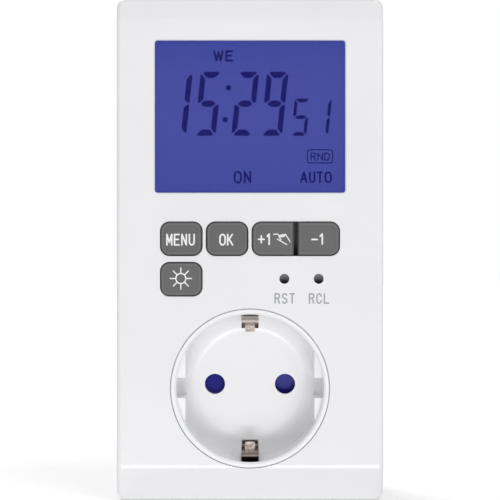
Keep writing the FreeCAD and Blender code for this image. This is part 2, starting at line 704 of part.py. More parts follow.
def rear_housing():
    """Rear shell with the plug body, screw bosses, board posts and joining lip."""
    outer = rectangle_plate(-HALF_WIDTH, HALF_WIDTH, BOTTOM_Z, TOP_Z, CORNER_R, SEAM_Y, REAR_Y)
    outer = outer.makeFillet(REAR_EDGE_R, rim_edges(outer, 1))
    outer = outer.makeChamfer(SEAM_CHAMFER, rim_edges(outer, -1))
    shell = outer.cut(casing_block(WALL, SEAM_Y - OVER, REAR_INNER_Y))
    lip_y = SEAM_Y - LIP_HEIGHT
    lip = casing_block(WALL / 2 + CLEAR, lip_y, SEAM_Y + WALL)
    lip = lip.cut(casing_block(WALL, lip_y - OVER, SEAM_Y + WALL + OVER))
    bosses = [rod_y(SLEEVE_R, SEAM_Y, REAR_INNER_Y + WALL / 2, x, z) for x, z in CASE_SCREWS]
    inside = rectangle_plate(
        -HALF_WIDTH + WALL / 2,
        HALF_WIDTH - WALL / 2,
        BOTTOM_Z + WALL / 2,
        TOP_Z - WALL / 2,
        CORNER_R - WALL / 2,
        SEAM_Y,
        REAR_Y,
    )
    bosses = [boss.common(inside) for boss in bosses]
    post_y = POWER_BACK_Y + SEAT_GAP
    posts = [rod_y(POWER_POST_R, post_y, REAR_INNER_Y + WALL / 2, x, z) for x, z in POWER_POSTS]
    shell = joined([shell, lip, plug_form()] + bosses + posts)
    cavity_y = -PLUG_END_WALL
    shell = shell.cut(rod_y(PLUG_CAVITY_R, REAR_INNER_Y - OVER, cavity_y))
    retainer_bosses = [
        rod_y(RETAINER_BOSS_R, RETAINER_BACK_Y + SEAT_GAP, cavity_y / 2, x, z) for x, z in RETAINER_SCREWS
    ]
    shell = joined([shell] + retainer_bosses)
    tools = [rod_y(PIN_ROOT_R + SEAT_GAP, cavity_y - OVER, OVER, side * PIN_X) for side in (-1, 1)]
    head_hole_r = CASE_HEAD_R + CASE_HEAD_GAP
    for x, z in CASE_SCREWS:
        tools.append(rod_y(CASE_SCREW_R + CLEAR, SEAM_Y - OVER, CASE_SEAT_Y + OVER, x, z))
        tools.append(rod_y(head_hole_r, CASE_SEAT_Y, REAR_Y + OVER, x, z))
    for x, z in POWER_POSTS:
        pilot_y = POWER_FRONT_Y + POWER_SCREW_LENGTH + CLEAR
        tools.append(rod_y(SMALL_SCREW_R + SEAT_GAP, POWER_BACK_Y - OVER, pilot_y, x, z))
    for x, z in RETAINER_SCREWS:
        pilot_y = RETAINER_BACK_Y - RETAINER_T + RETAINER_SCREW_LENGTH + CLEAR
        tools.append(rod_y(SMALL_SCREW_R + SEAT_GAP, RETAINER_BACK_Y - OVER, pilot_y, x, z))
    half_groove = EARTH_GROOVE_WIDTH / 2
    groove_low = EARTH_PLUG_Z - EARTH_T / 2 - CLEAR
    slot_high = EARTH_OUTER_Z + CLEAR
    for side in (-1, 1):
        z0, z1 = sorted((side * groove_low, side * (PLUG_R + OVER)))
        tools.append(box(-half_groove, half_groove, REAR_Y, OVER, z0, z1))
        z0, z1 = sorted((side * groove_low, side * slot_high))
        tools.append(box(-half_groove, half_groove, REAR_INNER_Y - OVER, REAR_Y + OVER, z0, z1))
    return cut_all(shell, tools)


# Plug and socket
def plug_pin(side):
    """Round plug pin with a domed tip, a thicker root, a collar and a slim tail."""
    collar_y = -PLUG_END_WALL - SEAT_GAP
    profile = [
        (0, PIN_TAIL_Y, 0),
        (PIN_TAIL_R, PIN_TAIL_Y, 0),
        (PIN_TAIL_R, collar_y - PIN_COLLAR_T, 0),
        (PIN_COLLAR_R, collar_y - PIN_COLLAR_T, 0),
        (PIN_COLLAR_R, collar_y, 0),
        (PIN_ROOT_R, collar_y, 0),
        (PIN_ROOT_R, 0, 0),
        (PIN_R, 0, 0),
        (PIN_R, PIN_LENGTH, PIN_TIP_R),
        (0, PIN_LENGTH, 0),
    ]
    return turned(profile, side * PIN_X)


def pin_retainer():
    """Bar inside the plug that presses on the collars of both pins."""
    y1 = RETAINER_BACK_Y - SEAT_GAP
    y0 = y1 - RETAINER_T
    half_x = PIN_X + PIN_COLLAR_R
    half_z = RETAINER_HALF_WIDTH
    bar = box(-half_x, half_x, y0, y1, -half_z, half_z)
    bar = bar.common(rod_y(PLUG_CAVITY_R - CLEAR, y0, y1))
    tools = [rod_y(PIN_TAIL_R + CLEAR, y0 - OVER, y1 + OVER, side * PIN_X) for side in (-1, 1)]
    tools.append(rod_y(SMALL_SCREW_R + CLEAR, y0 - OVER, y1 + OVER))
    return cut_all(bar, tools)


def well_space():
    """Space inside the socket well: round, blended into its floor, with side guide segments."""
    profile = [
        (0, FRONT_Y - OVER, 0),
        (WELL_R + RIM_CHAMFER + OVER, FRONT_Y - OVER, 0),
        (WELL_R, FRONT_Y + RIM_CHAMFER, 0),
        (WELL_R, FLOOR_Y, FLOOR_BLEND_R),
        (0, FLOOR_Y, 0),
    ]
    space = turned(profile)
    top_y = FRONT_Y + SEGMENT_SINK
    side = box(SEGMENT_FLAT_X, RIM_R, top_y, FLOOR_Y + OVER, -WELL_R, WELL_R)
    half = NOTCH_WIDTH / 2
    notch = box(SEGMENT_FLAT_X - OVER, RIM_R, top_y - OVER, FLOOR_Y + OVER, -half, half)
    segment = side.cut(notch)
    return space.cut([segment, mirrored(segment, V(1, 0, 0))])


def socket_insert():
    """Socket well with its rim, flange, pin holes, earth windows and rear bosses."""
    profile = [
        (0, FRONT_Y, 0),
        (RIM_R - RIM_CHAMFER / 2, FRONT_Y, 0),
        (RIM_R, FRONT_Y + RIM_CHAMFER / 2, 0),
        (RIM_R, FLOOR_BACK_Y, 0),
        (0, FLOOR_BACK_Y, 0),
    ]
    cup = turned(profile)
    flange_y = FRONT_INNER_Y + SEAT_GAP
    flange = rod_y(INSERT_FLANGE_R, flange_y, flange_y + INSERT_FLANGE_T)
    flange = flange.common(casing_block(WALL + CLEAR, FRONT_Y, SEAM_Y))
    cup = cup.fuse(flange).removeSplitter().cut(well_space())
    root_y = FLOOR_BACK_Y - FLOOR_T / 2
    bosses = [rod_y(INSERT_BOSS_R, root_y, INSERT_BOSS_Y, x, z) for x, z in INSERT_BOSSES]
    pivot = rod_y(PIVOT_R, root_y, TOWER_FRONT_Y + SPRING_WIDTH)
    insert = joined([cup, pivot] + bosses)
    tools = [rod_y(PIN_HOLE_R, FLOOR_Y - OVER, FLOOR_BACK_Y + OVER, side * PIN_X) for side in (-1, 1)]
    half = EARTH_WINDOW_WIDTH / 2
    window_y = FRONT_Y + EARTH_WINDOW_SINK
    for side in (-1, 1):
        z0, z1 = sorted((side * EARTH_WINDOW_R, side * (RIM_R + EARTH_T)))
        tools.append(box(-half, half, window_y, FLOOR_BACK_Y + OVER, z0, z1))
    pilot_y = FLOOR_BACK_Y + CLEAR
    for x, z in INSERT_BOSSES:
        tools.append(rod_y(SMALL_SCREW_R + SEAT_GAP, pilot_y, INSERT_BOSS_Y + OVER, x, z))
    return cut_all(insert, tools)


def shutter():
    """Turning shutter: a hub with two arms whose blades close the pin holes."""
    y0 = SHUTTER_FRONT_Y
    y1 = SHUTTER_BACK_Y
    hub = rod_y(SHUTTER_HUB_R, y0, y1)
    bar = box(-PIN_X, PIN_X, y0, y1, -SHUTTER_ARM_WIDTH / 2, SHUTTER_ARM_WIDTH / 2)
    blades = [rod_y(SHUTTER_BLADE_R, y0, y1, side * PIN_X) for side in (-1, 1)]
    tab = box(-SHUTTER_TAB_R, SHUTTER_TAB_R, y0, y1, 0, SHUTTER_TAB_Z)
    peg = rod_y(SHUTTER_TAB_R, y0, y1 + SHUTTER_T, 0, SHUTTER_TAB_Z)
    body = joined([hub, bar, tab, peg] + blades)
    reach = SHUTTER_BLADE_R
    start = PIN_HOLE_R + CLEAR
    ramp = Part.Face(
        Part.makePolygon(
            [
                V(PIN_X - reach, y0 - OVER, start),
                V(PIN_X - reach, y0, start),
                V(PIN_X - reach, y0 + SHUTTER_RAMP, -reach - OVER),
                V(PIN_X - reach, y0 - OVER, -reach - OVER),
                V(PIN_X - reach, y0 - OVER, start),
            ]
        )
    ).extrude(V(2 * reach + OVER, 0, 0))
    other = ramp.copy()
    other.rotate(V(0, 0, 0), V(0, 1, 0), 180)
    return cut_all(body, [rod_y(PIVOT_R + SHUTTER_FIT, y0 - OVER, y1 + OVER), ramp, other])


def spring_path():
    """Middle line of the hairpin spring in X and Z, from the carrier's post to the shutter's peg."""
    leg_z = SHUTTER_TAB_Z + SHUTTER_TAB_R
    loop = SPRING_LOOP_R
    peg_side_x = -SHUTTER_TAB_R - SEAT_GAP - SPRING_T / 2
    return [(loop, leg_z), (loop, -loop), (-loop, -loop), (-loop, loop), (peg_side_x, leg_z)]


def shutter_spring():
    """Flat hairpin spring round the pivot that turns the shutter back."""
    corners, radii = strip_outline(spring_path(), SPRING_LOOP_R / 2, SPRING_T)
    y0 = TOWER_FRONT_Y
    return plate(corners, radii, y0, y0 + SPRING_WIDTH)


def socket_contact(side):
    """Spring clip that grips a pin, with a hole for its tip and a side tag for the wire."""
    grip = CONTACT_GRIP_Z + CONTACT_T / 2
    arm = CONTACT_ARM_Z
    mouth_y = TOWER_FRONT_Y + TOUCH_GAP
    crest_y = mouth_y + CONTACT_WIDTH / 2
    spring_y = crest_y + CONTACT_WIDTH / 2
    half_path = [(mouth_y, arm), (crest_y, grip), (spring_y, arm), (CONTACT_BASE_Y, arm)]
    path = half_path + [(y, -z) for y, z in half_path[::-1]]
    x0 = side * PIN_X - CONTACT_WIDTH / 2
    clip = bent_strip(path, CONTACT_BEND_R, CONTACT_T, x0, x0 + CONTACT_WIDTH)
    y0 = CONTACT_BASE_Y - CONTACT_T / 2
    y1 = CONTACT_BASE_Y + CONTACT_T / 2
    tag_x = sorted((side * (PIN_X + CONTACT_HOLE_R), side * (PIN_X + CONTACT_TAG_X)))
    tag = box(tag_x[0], tag_x[1], y0, y1, -CONTACT_TAG_WIDTH / 2, CONTACT_TAG_WIDTH / 2)
    clip = joined([clip, tag])
    return clip.cut(rod_y(CONTACT_HOLE_R, y0 - OVER, y1 + OVER, side * PIN_X))


def contact_carrier():
    """Carrier behind the well: a floor with a chamber round each contact and screw pillars."""
    floor = rod_y(CARRIER_R, CARRIER_FLOOR_Y, CARRIER_BACK_Y)
    chamber_x = CONTACT_WIDTH / 2 + CHAMBER_CLEAR_X
    chamber_z = CONTACT_ARM_Z + CONTACT_T / 2 + CHAMBER_CLEAR_Z
    solids = [floor]
    spaces = []
    for side in (-1, 1):
        x = side * PIN_X
        grow = TOWER_WALL
        reach_x = chamber_x + grow
        reach_z = chamber_z + grow
        solids.append(box(x - reach_x, x + reach_x, TOWER_FRONT_Y, CARRIER_BACK_Y, -reach_z, reach_z))
        spaces.append(
            box(x - chamber_x, x + chamber_x, TOWER_FRONT_Y - OVER, CARRIER_FLOOR_Y, -chamber_z, chamber_z)
        )
        slot_x = sorted((x, x + side * (chamber_x + grow + OVER)))
        half_tag = CONTACT_TAG_WIDTH / 2 + CLEAR
        slot_y = CONTACT_BASE_Y - CONTACT_T / 2 - CLEAR
        spaces.append(box(slot_x[0], slot_x[1], TOWER_FRONT_Y - OVER, CARRIER_FLOOR_Y, -half_tag, half_tag))
        spaces.append(rod_y(CONTACT_HOLE_R, slot_y, CARRIER_BACK_Y + OVER, x))
    for x, z in INSERT_BOSSES:
        solids.append(rod_y(INSERT_BOSS_R, INSERT_BOSS_Y + SEAT_GAP, CARRIER_BACK_Y, x, z))
        spaces.append(rod_y(SMALL_SCREW_R + CLEAR, INSERT_BOSS_Y - OVER, CARRIER_BACK_Y + OVER, x, z))
        spaces.append(rod_y(SMALL_HEAD_R + CLEAR, CARRIER_SEAT_Y, CARRIER_BACK_Y + OVER, x, z))
    half_strip = EARTH_STRIP_WIDTH / 2 + CLEAR
    guard_z0 = EARTH_OUTER_Z + CLEAR
    for side in (-1, 1):
        z0, z1 = sorted((side * guard_z0, side * (guard_z0 + TOWER_WALL)))
        guard = box(-half_strip, half_strip, TOWER_FRONT_Y, CARRIER_BACK_Y, z0, z1)
        solids.append(guard)
        z0, z1 = sorted((side * (EARTH_PLUG_Z - EARTH_T / 2 - CLEAR), side * guard_z0))
        spaces.append(box(-half_strip, half_strip, CARRIER_FLOOR_Y - OVER, CARRIER_BACK_Y + OVER, z0, z1))
    post_x = SPRING_LOOP_R + SPRING_T / 2 + SEAT_GAP + SPRING_POST_R
    post_z = SHUTTER_TAB_Z
    solids.append(rod_y(SPRING_POST_R, TOWER_FRONT_Y, CARRIER_BACK_Y, post_x, post_z))
    half_bar = BAR_WIDTH / 2 + 2 * CLEAR
    half_slot = BAR_T / 2 + 2 * CLEAR
    spaces.append(
        box(
            -PIN_X - half_bar + BAR_WIDTH / 2,
            -PIN_X + half_bar + BAR_WIDTH / 2,
            CARRIER_FLOOR_Y - OVER,
            CARRIER_BACK_Y + OVER,
            FEED_BAR_Z - half_slot,
            FEED_BAR_Z + half_slot,
        )
    )
    strap_x = PIN_X + PIN_R + CLEAR
    spaces.append(
        box(
            strap_x,
            strap_x + CLEAR + STRAP_T + STRAP_CLEAR,
            CARRIER_FLOOR_Y - OVER,
            CARRIER_BACK_Y + OVER,
            -CONTACT_TAG_WIDTH / 2,
            CONTACT_TAG_WIDTH / 2,
        )
    )
    return cut_all(joined(solids), spaces)


def neutral_strap():
    """Brass link from the neutral pin's tail to the neutral contact."""
    y1 = PIN_TAIL_Y + PIN_TAIL_R
    y0 = y1 - STRAP_T
    leg_x = PIN_X + PIN_R + 2 * CLEAR
    half = CONTACT_TAG_WIDTH / 2 - CLEAR
    eye = rod_y(PIN_R + STRAP_T, y0, y1, PIN_X)
    arm = box(PIN_X, leg_x + STRAP_T, y0, y1, -half, half)
    leg = box(leg_x, leg_x + STRAP_T, CONTACT_BASE_Y + CONTACT_T / 2 + SEAT_GAP, y1, -half, half)
    strap = joined([eye, arm, leg])
    return strap.cut(rod_y(PIN_TAIL_R + SEAT_GAP, y0 - OVER, y1 + OVER, PIN_X))


def earth_strip(side):
    """Earth strip from the well's clip, past the carrier, to the plug's earth contact."""
    half = EARTH_T / 2
    crest_y = FRONT_Y + EARTH_CREST_DEPTH
    crest_z = EARTH_CREST_Z + half
    path = [
        (FRONT_Y + EARTH_TONGUE_REACH, EARTH_TIP_Z),
        (crest_y, crest_z),
        (FRONT_Y + EARTH_HOOK_DEPTH, EARTH_HOOK_Z),
        (FLOOR_BACK_Y, EARTH_MID_Z),
        (REAR_INNER_Y - EARTH_MID_Z + EARTH_PLUG_Z, EARTH_MID_Z),
        (REAR_Y - half, EARTH_PLUG_Z),
        (-PLUG_EDGE_R, EARTH_PLUG_Z),
    ]
    wide = EARTH_STRIP_WIDTH / 2
    slim = EARTH_TONGUE_WIDTH / 2
    strip = bent_strip(path, EARTH_HOOK_R, EARTH_T, -wide, wide)
    for x in (-1, 1):
        x0, x1 = sorted((x * slim, x * (wide + OVER)))
        strip = strip.cut(box(x0, x1, FRONT_Y, FLOOR_Y, 0, EARTH_SHOULDER_Z))
    return strip if side > 0 else mirrored(strip, V(0, 0, 1))


def earth_bridge():
    """Flat bar that joins the two earth strips behind the well."""
    y = BRIDGE_Y
    z = EARTH_MID_Z - EARTH_T - SEAT_GAP
    path = [(y - BRIDGE_FOOT, z), (y, z), (y, -z), (y - BRIDGE_FOOT, -z)]
    half = EARTH_STRIP_WIDTH / 2
    return bent_strip(path, EARTH_HOOK_R, EARTH_T, -half, half)


# Display
def display_window():
    """Clear window: a land that fills the opening and a flange behind the wall."""
    land = window_block(-WINDOW_GAP, FRONT_Y + WINDOW_SINK, WINDOW_BACK_Y)
    flange = window_block(WINDOW_FLANGE, FRONT_INNER_Y + SEAT_GAP, WINDOW_BACK_Y)
    return joined([land, flange])


def lcd_panel():
    """Display glass."""
    return box(-GLASS_HALF_X, GLASS_HALF_X, GLASS_FRONT_Y, GLASS_BACK_Y, GLASS_BOTTOM_Z, GLASS_TOP_Z)


def led_places():
    """Middle heights of the two lamps beside the light guide."""
    return (WINDOW_CENTRE_Z - LED_OFFSET_Z, WINDOW_CENTRE_Z + LED_OFFSET_Z)


def lcd_frame():
    """Frame that stands on the control board and holds the glass and the light guide."""
    y0 = GLASS_FRONT_Y
    y1 = CONTROL_FRONT_Y - SEAT_GAP
    frame = rectangle_plate(
        -FRAME_HALF_X, FRAME_HALF_X, FRAME_BOTTOM_Z, FRAME_TOP_Z, FRAME_WALL, y0, y1
    )
    pegs = [square_post(FRAME_PEG, y1 - OVER, CONTROL_BACK_Y + CLEAR, x, z) for x, z in PEG_PLACES]
    frame = joined([frame] + pegs)
    glass = box(
        -GLASS_HALF_X - CLEAR,
        GLASS_HALF_X + CLEAR,
        y0 - OVER,
        GLASS_BACK_Y + SEAT_GAP,
        GLASS_BOTTOM_Z - CLEAR,
        GLASS_TOP_Z + CLEAR,
    )
    guide = box(
        -GUIDE_HALF_X - CLEAR,
        GUIDE_HALF_X + CLEAR,
        y0,
        y1 + OVER,
        GUIDE_BOTTOM_Z - CLEAR,
        GUIDE_TOP_Z + CLEAR,
    )
    half_slot = ZEBRA_HALF_X + CLEAR
    slot_z = ZEBRA_T / 2 + CLEAR
    zebra = box(-half_slot, half_slot, y0, y1 + OVER, ZEBRA_Z - slot_z, ZEBRA_Z + slot_z)
    tools = [glass, guide, zebra]
    half_led = LED_LENGTH / 2 + CLEAR
    for z in led_places():
        tools.append(
            box(
                GUIDE_HALF_X,
                GUIDE_HALF_X + LED_WIDTH + 2 * LED_POCKET_CLEAR,
                y1 - LED_HEIGHT - CLEAR,
                y1 + OVER,
                z - half_led,
                z + half_led,
            )
        )
    return cut_all(frame, tools)


def light_guide():
    """Clear block behind the glass that spreads the lamps' light."""
    y1 = CONTROL_FRONT_Y - CLEAR
    return box(-GUIDE_HALF_X, GUIDE_HALF_X, GLASS_BACK_Y + CLEAR, y1, GUIDE_BOTTOM_Z, GUIDE_TOP_Z)


def backlight_leds():
    """Two side-emitting lamps on the control board."""
    x0 = GUIDE_HALF_X + LED_POCKET_CLEAR
    y1 = CONTROL_FRONT_Y - SEAT_GAP
    half = LED_LENGTH / 2
    return Part.Compound(
        [box(x0, x0 + LED_WIDTH, y1 - LED_HEIGHT, y1, z - half, z + half) for z in led_places()]
    )


def zebra_strip():
    """Rubber strip that connects the glass to the control board."""
    half = ZEBRA_HALF_X
    y0 = GLASS_BACK_Y + SEAT_GAP
    y1 = CONTROL_FRONT_Y - SEAT_GAP
    return box(-half, half, y0, y1, ZEBRA_Z - ZEBRA_T / 2, ZEBRA_Z + ZEBRA_T / 2)


# Keys
def key_cap(name):
    """Moulded key with a dished face, a hollow skirt, two stop flanges and a stem."""
    x0, x1, z, radii = key_outline(name)
    half = KEY_HEIGHT / 2
    cap = rectangle_plate(x0, x1, z - half, z + half, radii, KEY_FRONT_Y, KEY_SKIRT_Y)
    cap = cap.makeChamfer(KEY_EDGE, rim_edges(cap, -1))
    inset = KEY_DISH_INSET
    dish_radii = tuple(max(radius - inset, LEAST_CORNER_R) for radius in radii)
    dish = rectangle_plate(
        x0 + inset,
        x1 - inset,
        z - half + inset,
        z + half - inset,
        dish_radii,
        KEY_FRONT_Y - OVER,
        KEY_FRONT_Y + KEY_DISH_DEPTH,
    )
    inset = KEY_SKIRT_T
    hollow_radii = tuple(max(radius - inset, LEAST_CORNER_R) for radius in radii)
    hollow = rectangle_plate(
        x0 + inset,
        x1 - inset,
        z - half + inset,
        z + half - inset,
        hollow_radii,
        KEY_FRONT_Y + KEY_FACE_T,
        KEY_SKIRT_Y + OVER,
    )
    x = (x0 + x1) / 2
    reach = half + KEY_FLANGE_REACH
    flange_y1 = KEY_FLANGE_Y + KEY_FLANGE_T
    flanges = []
    for side in (-1, 1):
        z0, z1 = sorted((z + side * (half - KEY_SKIRT_T / 2), z + side * reach))
        flanges.append(
            box(x - KEY_FLANGE_WIDTH / 2, x + KEY_FLANGE_WIDTH / 2, KEY_FLANGE_Y, flange_y1, z0, z1)
        )
    stem = square_post(KEY_STEM_WIDTH, KEY_FRONT_Y + KEY_FACE_T / 2, KEY_STEM_Y, x, z)
    return joined([cap.cut([dish, hollow]), stem] + flanges)


def reset_key(x):
    """Small recessed plunger behind a round hole, cupped for the point that presses it."""
    tip_y = FRONT_Y + RESET_SINK
    tip = rod_y(RESET_HOLE_R - RESET_GAP, tip_y, KEY_STEM_Y, x, RESET_Z)
    cup = cone_y(RESET_CUP_R, RESET_CUP_FLOOR_R, tip_y, tip_y + RESET_CUP_DEPTH, x, RESET_Z)
    flange = rod_y(RESET_FLANGE_R, KEY_FLANGE_Y, KEY_FLANGE_Y + KEY_FLANGE_T, x, RESET_Z)
    return joined([tip, flange]).cut(cup)


def key_mat():
    """Rubber mat on the control board with a dome under every key."""
    half = MAT_WIDTH / 2
    base = box(-half, half, MAT_FRONT_Y, CONTROL_FRONT_Y - SEAT_GAP, MAT_BOTTOM_Z, MAT_TOP_Z)
    domes = [
        cone_y(DOME_TOP_R, DOME_R, DOME_TOP_Y, MAT_FRONT_Y + MAT_T / 2, x, z) for x, z in KEYS.values()
    ]
    domes += [
        cone_y(SMALL_DOME_TOP_R, SMALL_DOME_R, DOME_TOP_Y, MAT_FRONT_Y + MAT_T / 2, x, RESET_Z)
        for x in RESET_X
    ]
    return joined([base] + domes)


# Control board
def control_board():
    """Board behind the display and keys, scalloped round the socket well."""
    half = CONTROL_BOARD_HALF_X
    tab = CONTROL_TAB_HALF_X
    corners = (
        (-half, CONTROL_BOARD_BOTTOM_Z),
        (half, CONTROL_BOARD_BOTTOM_Z),
        (half, CONTROL_SHOULDER_Z),
        (tab, CONTROL_SHOULDER_Z),
        (tab, CONTROL_BOARD_TOP_Z),
        (-tab, CONTROL_BOARD_TOP_Z),
        (-tab, CONTROL_SHOULDER_Z),
        (-half, CONTROL_SHOULDER_Z),
    )
    board = plate(corners, BOARD_CORNER_R, CONTROL_FRONT_Y, CONTROL_BACK_Y)
    y0 = CONTROL_FRONT_Y - OVER
    y1 = CONTROL_BACK_Y + OVER
    tools = [rod_y(CONTROL_SCALLOP_R, y0, y1)]
    tools += [rod_y(SMALL_SCREW_R + CLEAR, y0, y1, x, z) for x, z in CONTROL_POSTS]
    tools += [square_post(FRAME_PEG + 2 * CLEAR, y0, y1, x, z) for x, z in PEG_PLACES]
    return cut_all(board, tools)


def display_driver():
    """Flat chip on the back of the control board."""
    half = DRIVER_SIZE / 2
    y0 = CONTROL_BACK_Y + SEAT_GAP
    z = WINDOW_CENTRE_Z + DRIVER_ABOVE_CENTRE
    return box(-half, half, y0, y0 + DRIVER_T, z - half, z + half)


def clock_crystal():
    """Small round can lying on the back of the control board."""
    y = CONTROL_BACK_Y + SEAT_GAP + CRYSTAL_R
    half = CRYSTAL_LENGTH / 2
    z = WINDOW_CENTRE_Z - CRYSTAL_BELOW_CENTRE
    return rod_x(CRYSTAL_R, CRYSTAL_X - half, CRYSTAL_X + half, y, z)


def backup_cell():
    """Round rechargeable cell on the back of the control board."""
    y0 = CONTROL_BACK_Y + SEAT_GAP
    can = rod_y(CELL_R, y0, y0 + CELL_T, CELL_X, CELL_Z)
    return can.makeChamfer(CELL_T / 8, rim_edges(can, 1))


def ribbon_cable():
    """Flat cable bowed between the two boards."""
    y0 = CONTROL_BACK_Y + SEAT_GAP
    y1 = POWER_FRONT_Y - SEAT_GAP
    middle = (y0 + y1) / 2
    low = RIBBON_Z
    high = RIBBON_Z + RIBBON_T
    edges = [
        Part.Arc(V(0, y0, low), V(0, middle, low + RIBBON_BOW), V(0, y1, low)).toShape(),
        Part.LineSegment(V(0, y1, low), V(0, y1, high)).toShape(),
        Part.Arc(V(0, y1, high), V(0, middle, high + RIBBON_BOW), V(0, y0, high)).toShape(),
        Part.LineSegment(V(0, y0, high), V(0, y0, low)).toShape(),
    ]
    ribbon = Part.Face(Part.Wire(edges)).extrude(V(RIBBON_WIDTH, 0, 0))
    ribbon.translate(V(RIBBON_X - RIBBON_WIDTH / 2, 0, 0))
    return ribbon


# Power board
def axial_leads(x, z, pitch):
    """Places of the two leads of a part that lies along X."""
    return [(x - pitch / 2, z), (x + pitch / 2, z)]


def lead_places():
    """Places of every lead that goes through the power board."""
    places = axial_leads(CAPACITOR_X, CAPACITOR_Z, CAPACITOR_PITCH)
    places += axial_leads(SMOOTHING_X, SMOOTHING_Z, SMOOTHING_PITCH)
    places += axial_leads(VARISTOR_X, VARISTOR_Z, VARISTOR_PITCH)
    for z in DIODE_Z:
        places += axial_leads(DIODE_X, z, DIODE_PITCH)
    for z in RESISTOR_Z:
        places += axial_leads(RESISTOR_X, z, RESISTOR_PITCH)
    places += [(RELAY_X + x, RELAY_Z) for x in RELAY_PIN_X]
    return places


def power_board():
    """Board at the back that carries the relay and the supply."""
    half = POWER_BOARD_HALF_X
    board = rectangle_plate(
        -half,
        half,
        POWER_BOARD_BOTTOM_Z,
        POWER_BOARD_TOP_Z,
        BOARD_CORNER_R,
        POWER_FRONT_Y,
        POWER_BACK_Y,
    )
    y0 = POWER_FRONT_Y - OVER
    y1 = POWER_BACK_Y + OVER
    tools = [rod_y(SMALL_SCREW_R + CLEAR, y0, y1, x, z) for x, z in POWER_POSTS]
    tools += [square_post(LEAD_WIDTH + 2 * LEAD_CLEAR, y0, y1, x, z) for x, z in lead_places()]
    return cut_all(board, tools)


def leads(places, start_y):
    """Straight leads from start_y through the power board."""
    return [square_post(LEAD_WIDTH, start_y, LEAD_END_Y, x, z) for x, z in places]


def x2_capacitor():
    """Box film capacitor."""
    case = rectangle_plate(
        CAPACITOR_X - CAPACITOR_LENGTH / 2,
        CAPACITOR_X + CAPACITOR_LENGTH / 2,
        CAPACITOR_Z - CAPACITOR_WIDTH / 2,
        CAPACITOR_Z + CAPACITOR_WIDTH / 2,
        CAPACITOR_CORNER_R,
        PART_BACK_Y - CAPACITOR_HEIGHT,
        PART_BACK_Y,
    )
    places = axial_leads(CAPACITOR_X, CAPACITOR_Z, CAPACITOR_PITCH)
    return joined([case] + leads(places, PART_BACK_Y - OVER))


def smoothing_capacitor():
    """Round electrolytic capacitor standing on the board."""
    front = PART_BACK_Y - SMOOTHING_HEIGHT
    can = rod_y(SMOOTHING_R, front, PART_BACK_Y, SMOOTHING_X, SMOOTHING_Z)
    can = can.makeChamfer(SMOOTHING_R / 8, rim_edges(can, -1))
    places = axial_leads(SMOOTHING_X, SMOOTHING_Z, SMOOTHING_PITCH)
    return joined([can] + leads(places, PART_BACK_Y - OVER))


def axial_part(x, z, radius, length, pitch):
    """Round part that lies along X on the power board on two bent leads."""
    y = PART_BACK_Y - radius
    body = rod_x(radius, x - length / 2, x + length / 2, y, z)
    places = axial_leads(x, z, pitch)
    half = LEAD_WIDTH / 2
    across = box(places[0][0] - half, places[1][0] + half, y - half, y + half, z - half, z + half)
    return joined([body, across] + leads(places, y))


def rectifier_diodes():
    """Four diodes side by side."""
    return Part.Compound([axial_part(DIODE_X, z, DIODE_R, DIODE_LENGTH, DIODE_PITCH) for z in DIODE_Z])


def resistors():
    """Three film resistors side by side."""
    return Part.Compound(
        [axial_part(RESISTOR_X, z, RESISTOR_R, RESISTOR_LENGTH, RESISTOR_PITCH) for z in RESISTOR_Z]
    )


def varistor():
    """Coated disc standing on two leads."""
    y = PART_BACK_Y - VARISTOR_R
    half = VARISTOR_T / 2
    disc = Part.makeCylinder(VARISTOR_R, VARISTOR_T, V(VARISTOR_X, y, VARISTOR_Z - half), V(0, 0, 1))
    rims = [edge for edge in disc.Edges if edge.BoundBox.ZLength < 1e-6]
    disc = disc.makeChamfer(VARISTOR_T / 4, rims)
    places = axial_leads(VARISTOR_X, VARISTOR_Z, VARISTOR_PITCH)
    return joined([disc] + leads(places, y))


# Relay
def relay_base():
    """Moulded foot of the relay with its pins through the power board."""
    inner_x = RELAY_LENGTH / 2 - RELAY_CASE_T - CLEAR
    inner_z = RELAY_WIDTH / 2 - RELAY_CASE_T - CLEAR
    foot = box(
        RELAY_X - inner_x,
        RELAY_X + inner_x,
        RELAY_BASE_Y,
        PART_BACK_Y,
        RELAY_Z - inner_z,
        RELAY_Z + inner_z,
    )
    places = [(RELAY_X + x, RELAY_Z) for x in RELAY_PIN_X]
    return joined([foot] + leads(places, PART_BACK_Y - OVER))


def relay_case():
    """Thin cover of the relay, open towards the board."""
    half_x = RELAY_LENGTH / 2
    half_z = RELAY_WIDTH / 2
    wall = RELAY_CASE_T
    outer = rectangle_plate(
        RELAY_X - half_x,
        RELAY_X + half_x,
        RELAY_Z - half_z,
        RELAY_Z + half_z,
        wall,
        RELAY_FRONT_Y,
        PART_BACK_Y,
    )
    inner = box(
        RELAY_X - half_x + wall,
        RELAY_X + half_x - wall,
        RELAY_FRONT_Y + wall,
        PART_BACK_Y + OVER,
        RELAY_Z - half_z + wall,
        RELAY_Z + half_z - wall,
    )
    return outer.cut(inner)


def relay_coil():
    """Bobbin with its winding and iron core."""
    y0 = COIL_FRONT_Y
    y1 = RELAY_BASE_Y - SEAT_GAP
    winding = rod_y(COIL_R, y0, y1, COIL_CENTRE_X, RELAY_Z)
    ends = [
        rod_y(COIL_FLANGE_R, start, start + COIL_FLANGE_T, COIL_CENTRE_X, RELAY_Z)
        for start in (y0, y1 - COIL_FLANGE_T)
    ]
    return joined([winding] + ends)


def relay_yoke():
    """Iron leg beside the coil that carries the armature."""
    half = ARMATURE_WIDTH / 2
    y0 = ARMATURE_BACK_Y + SEAT_GAP
    y1 = RELAY_BASE_Y - SEAT_GAP
    return box(YOKE_X, YOKE_X + YOKE_T, y0, y1, RELAY_Z - half, RELAY_Z + half)


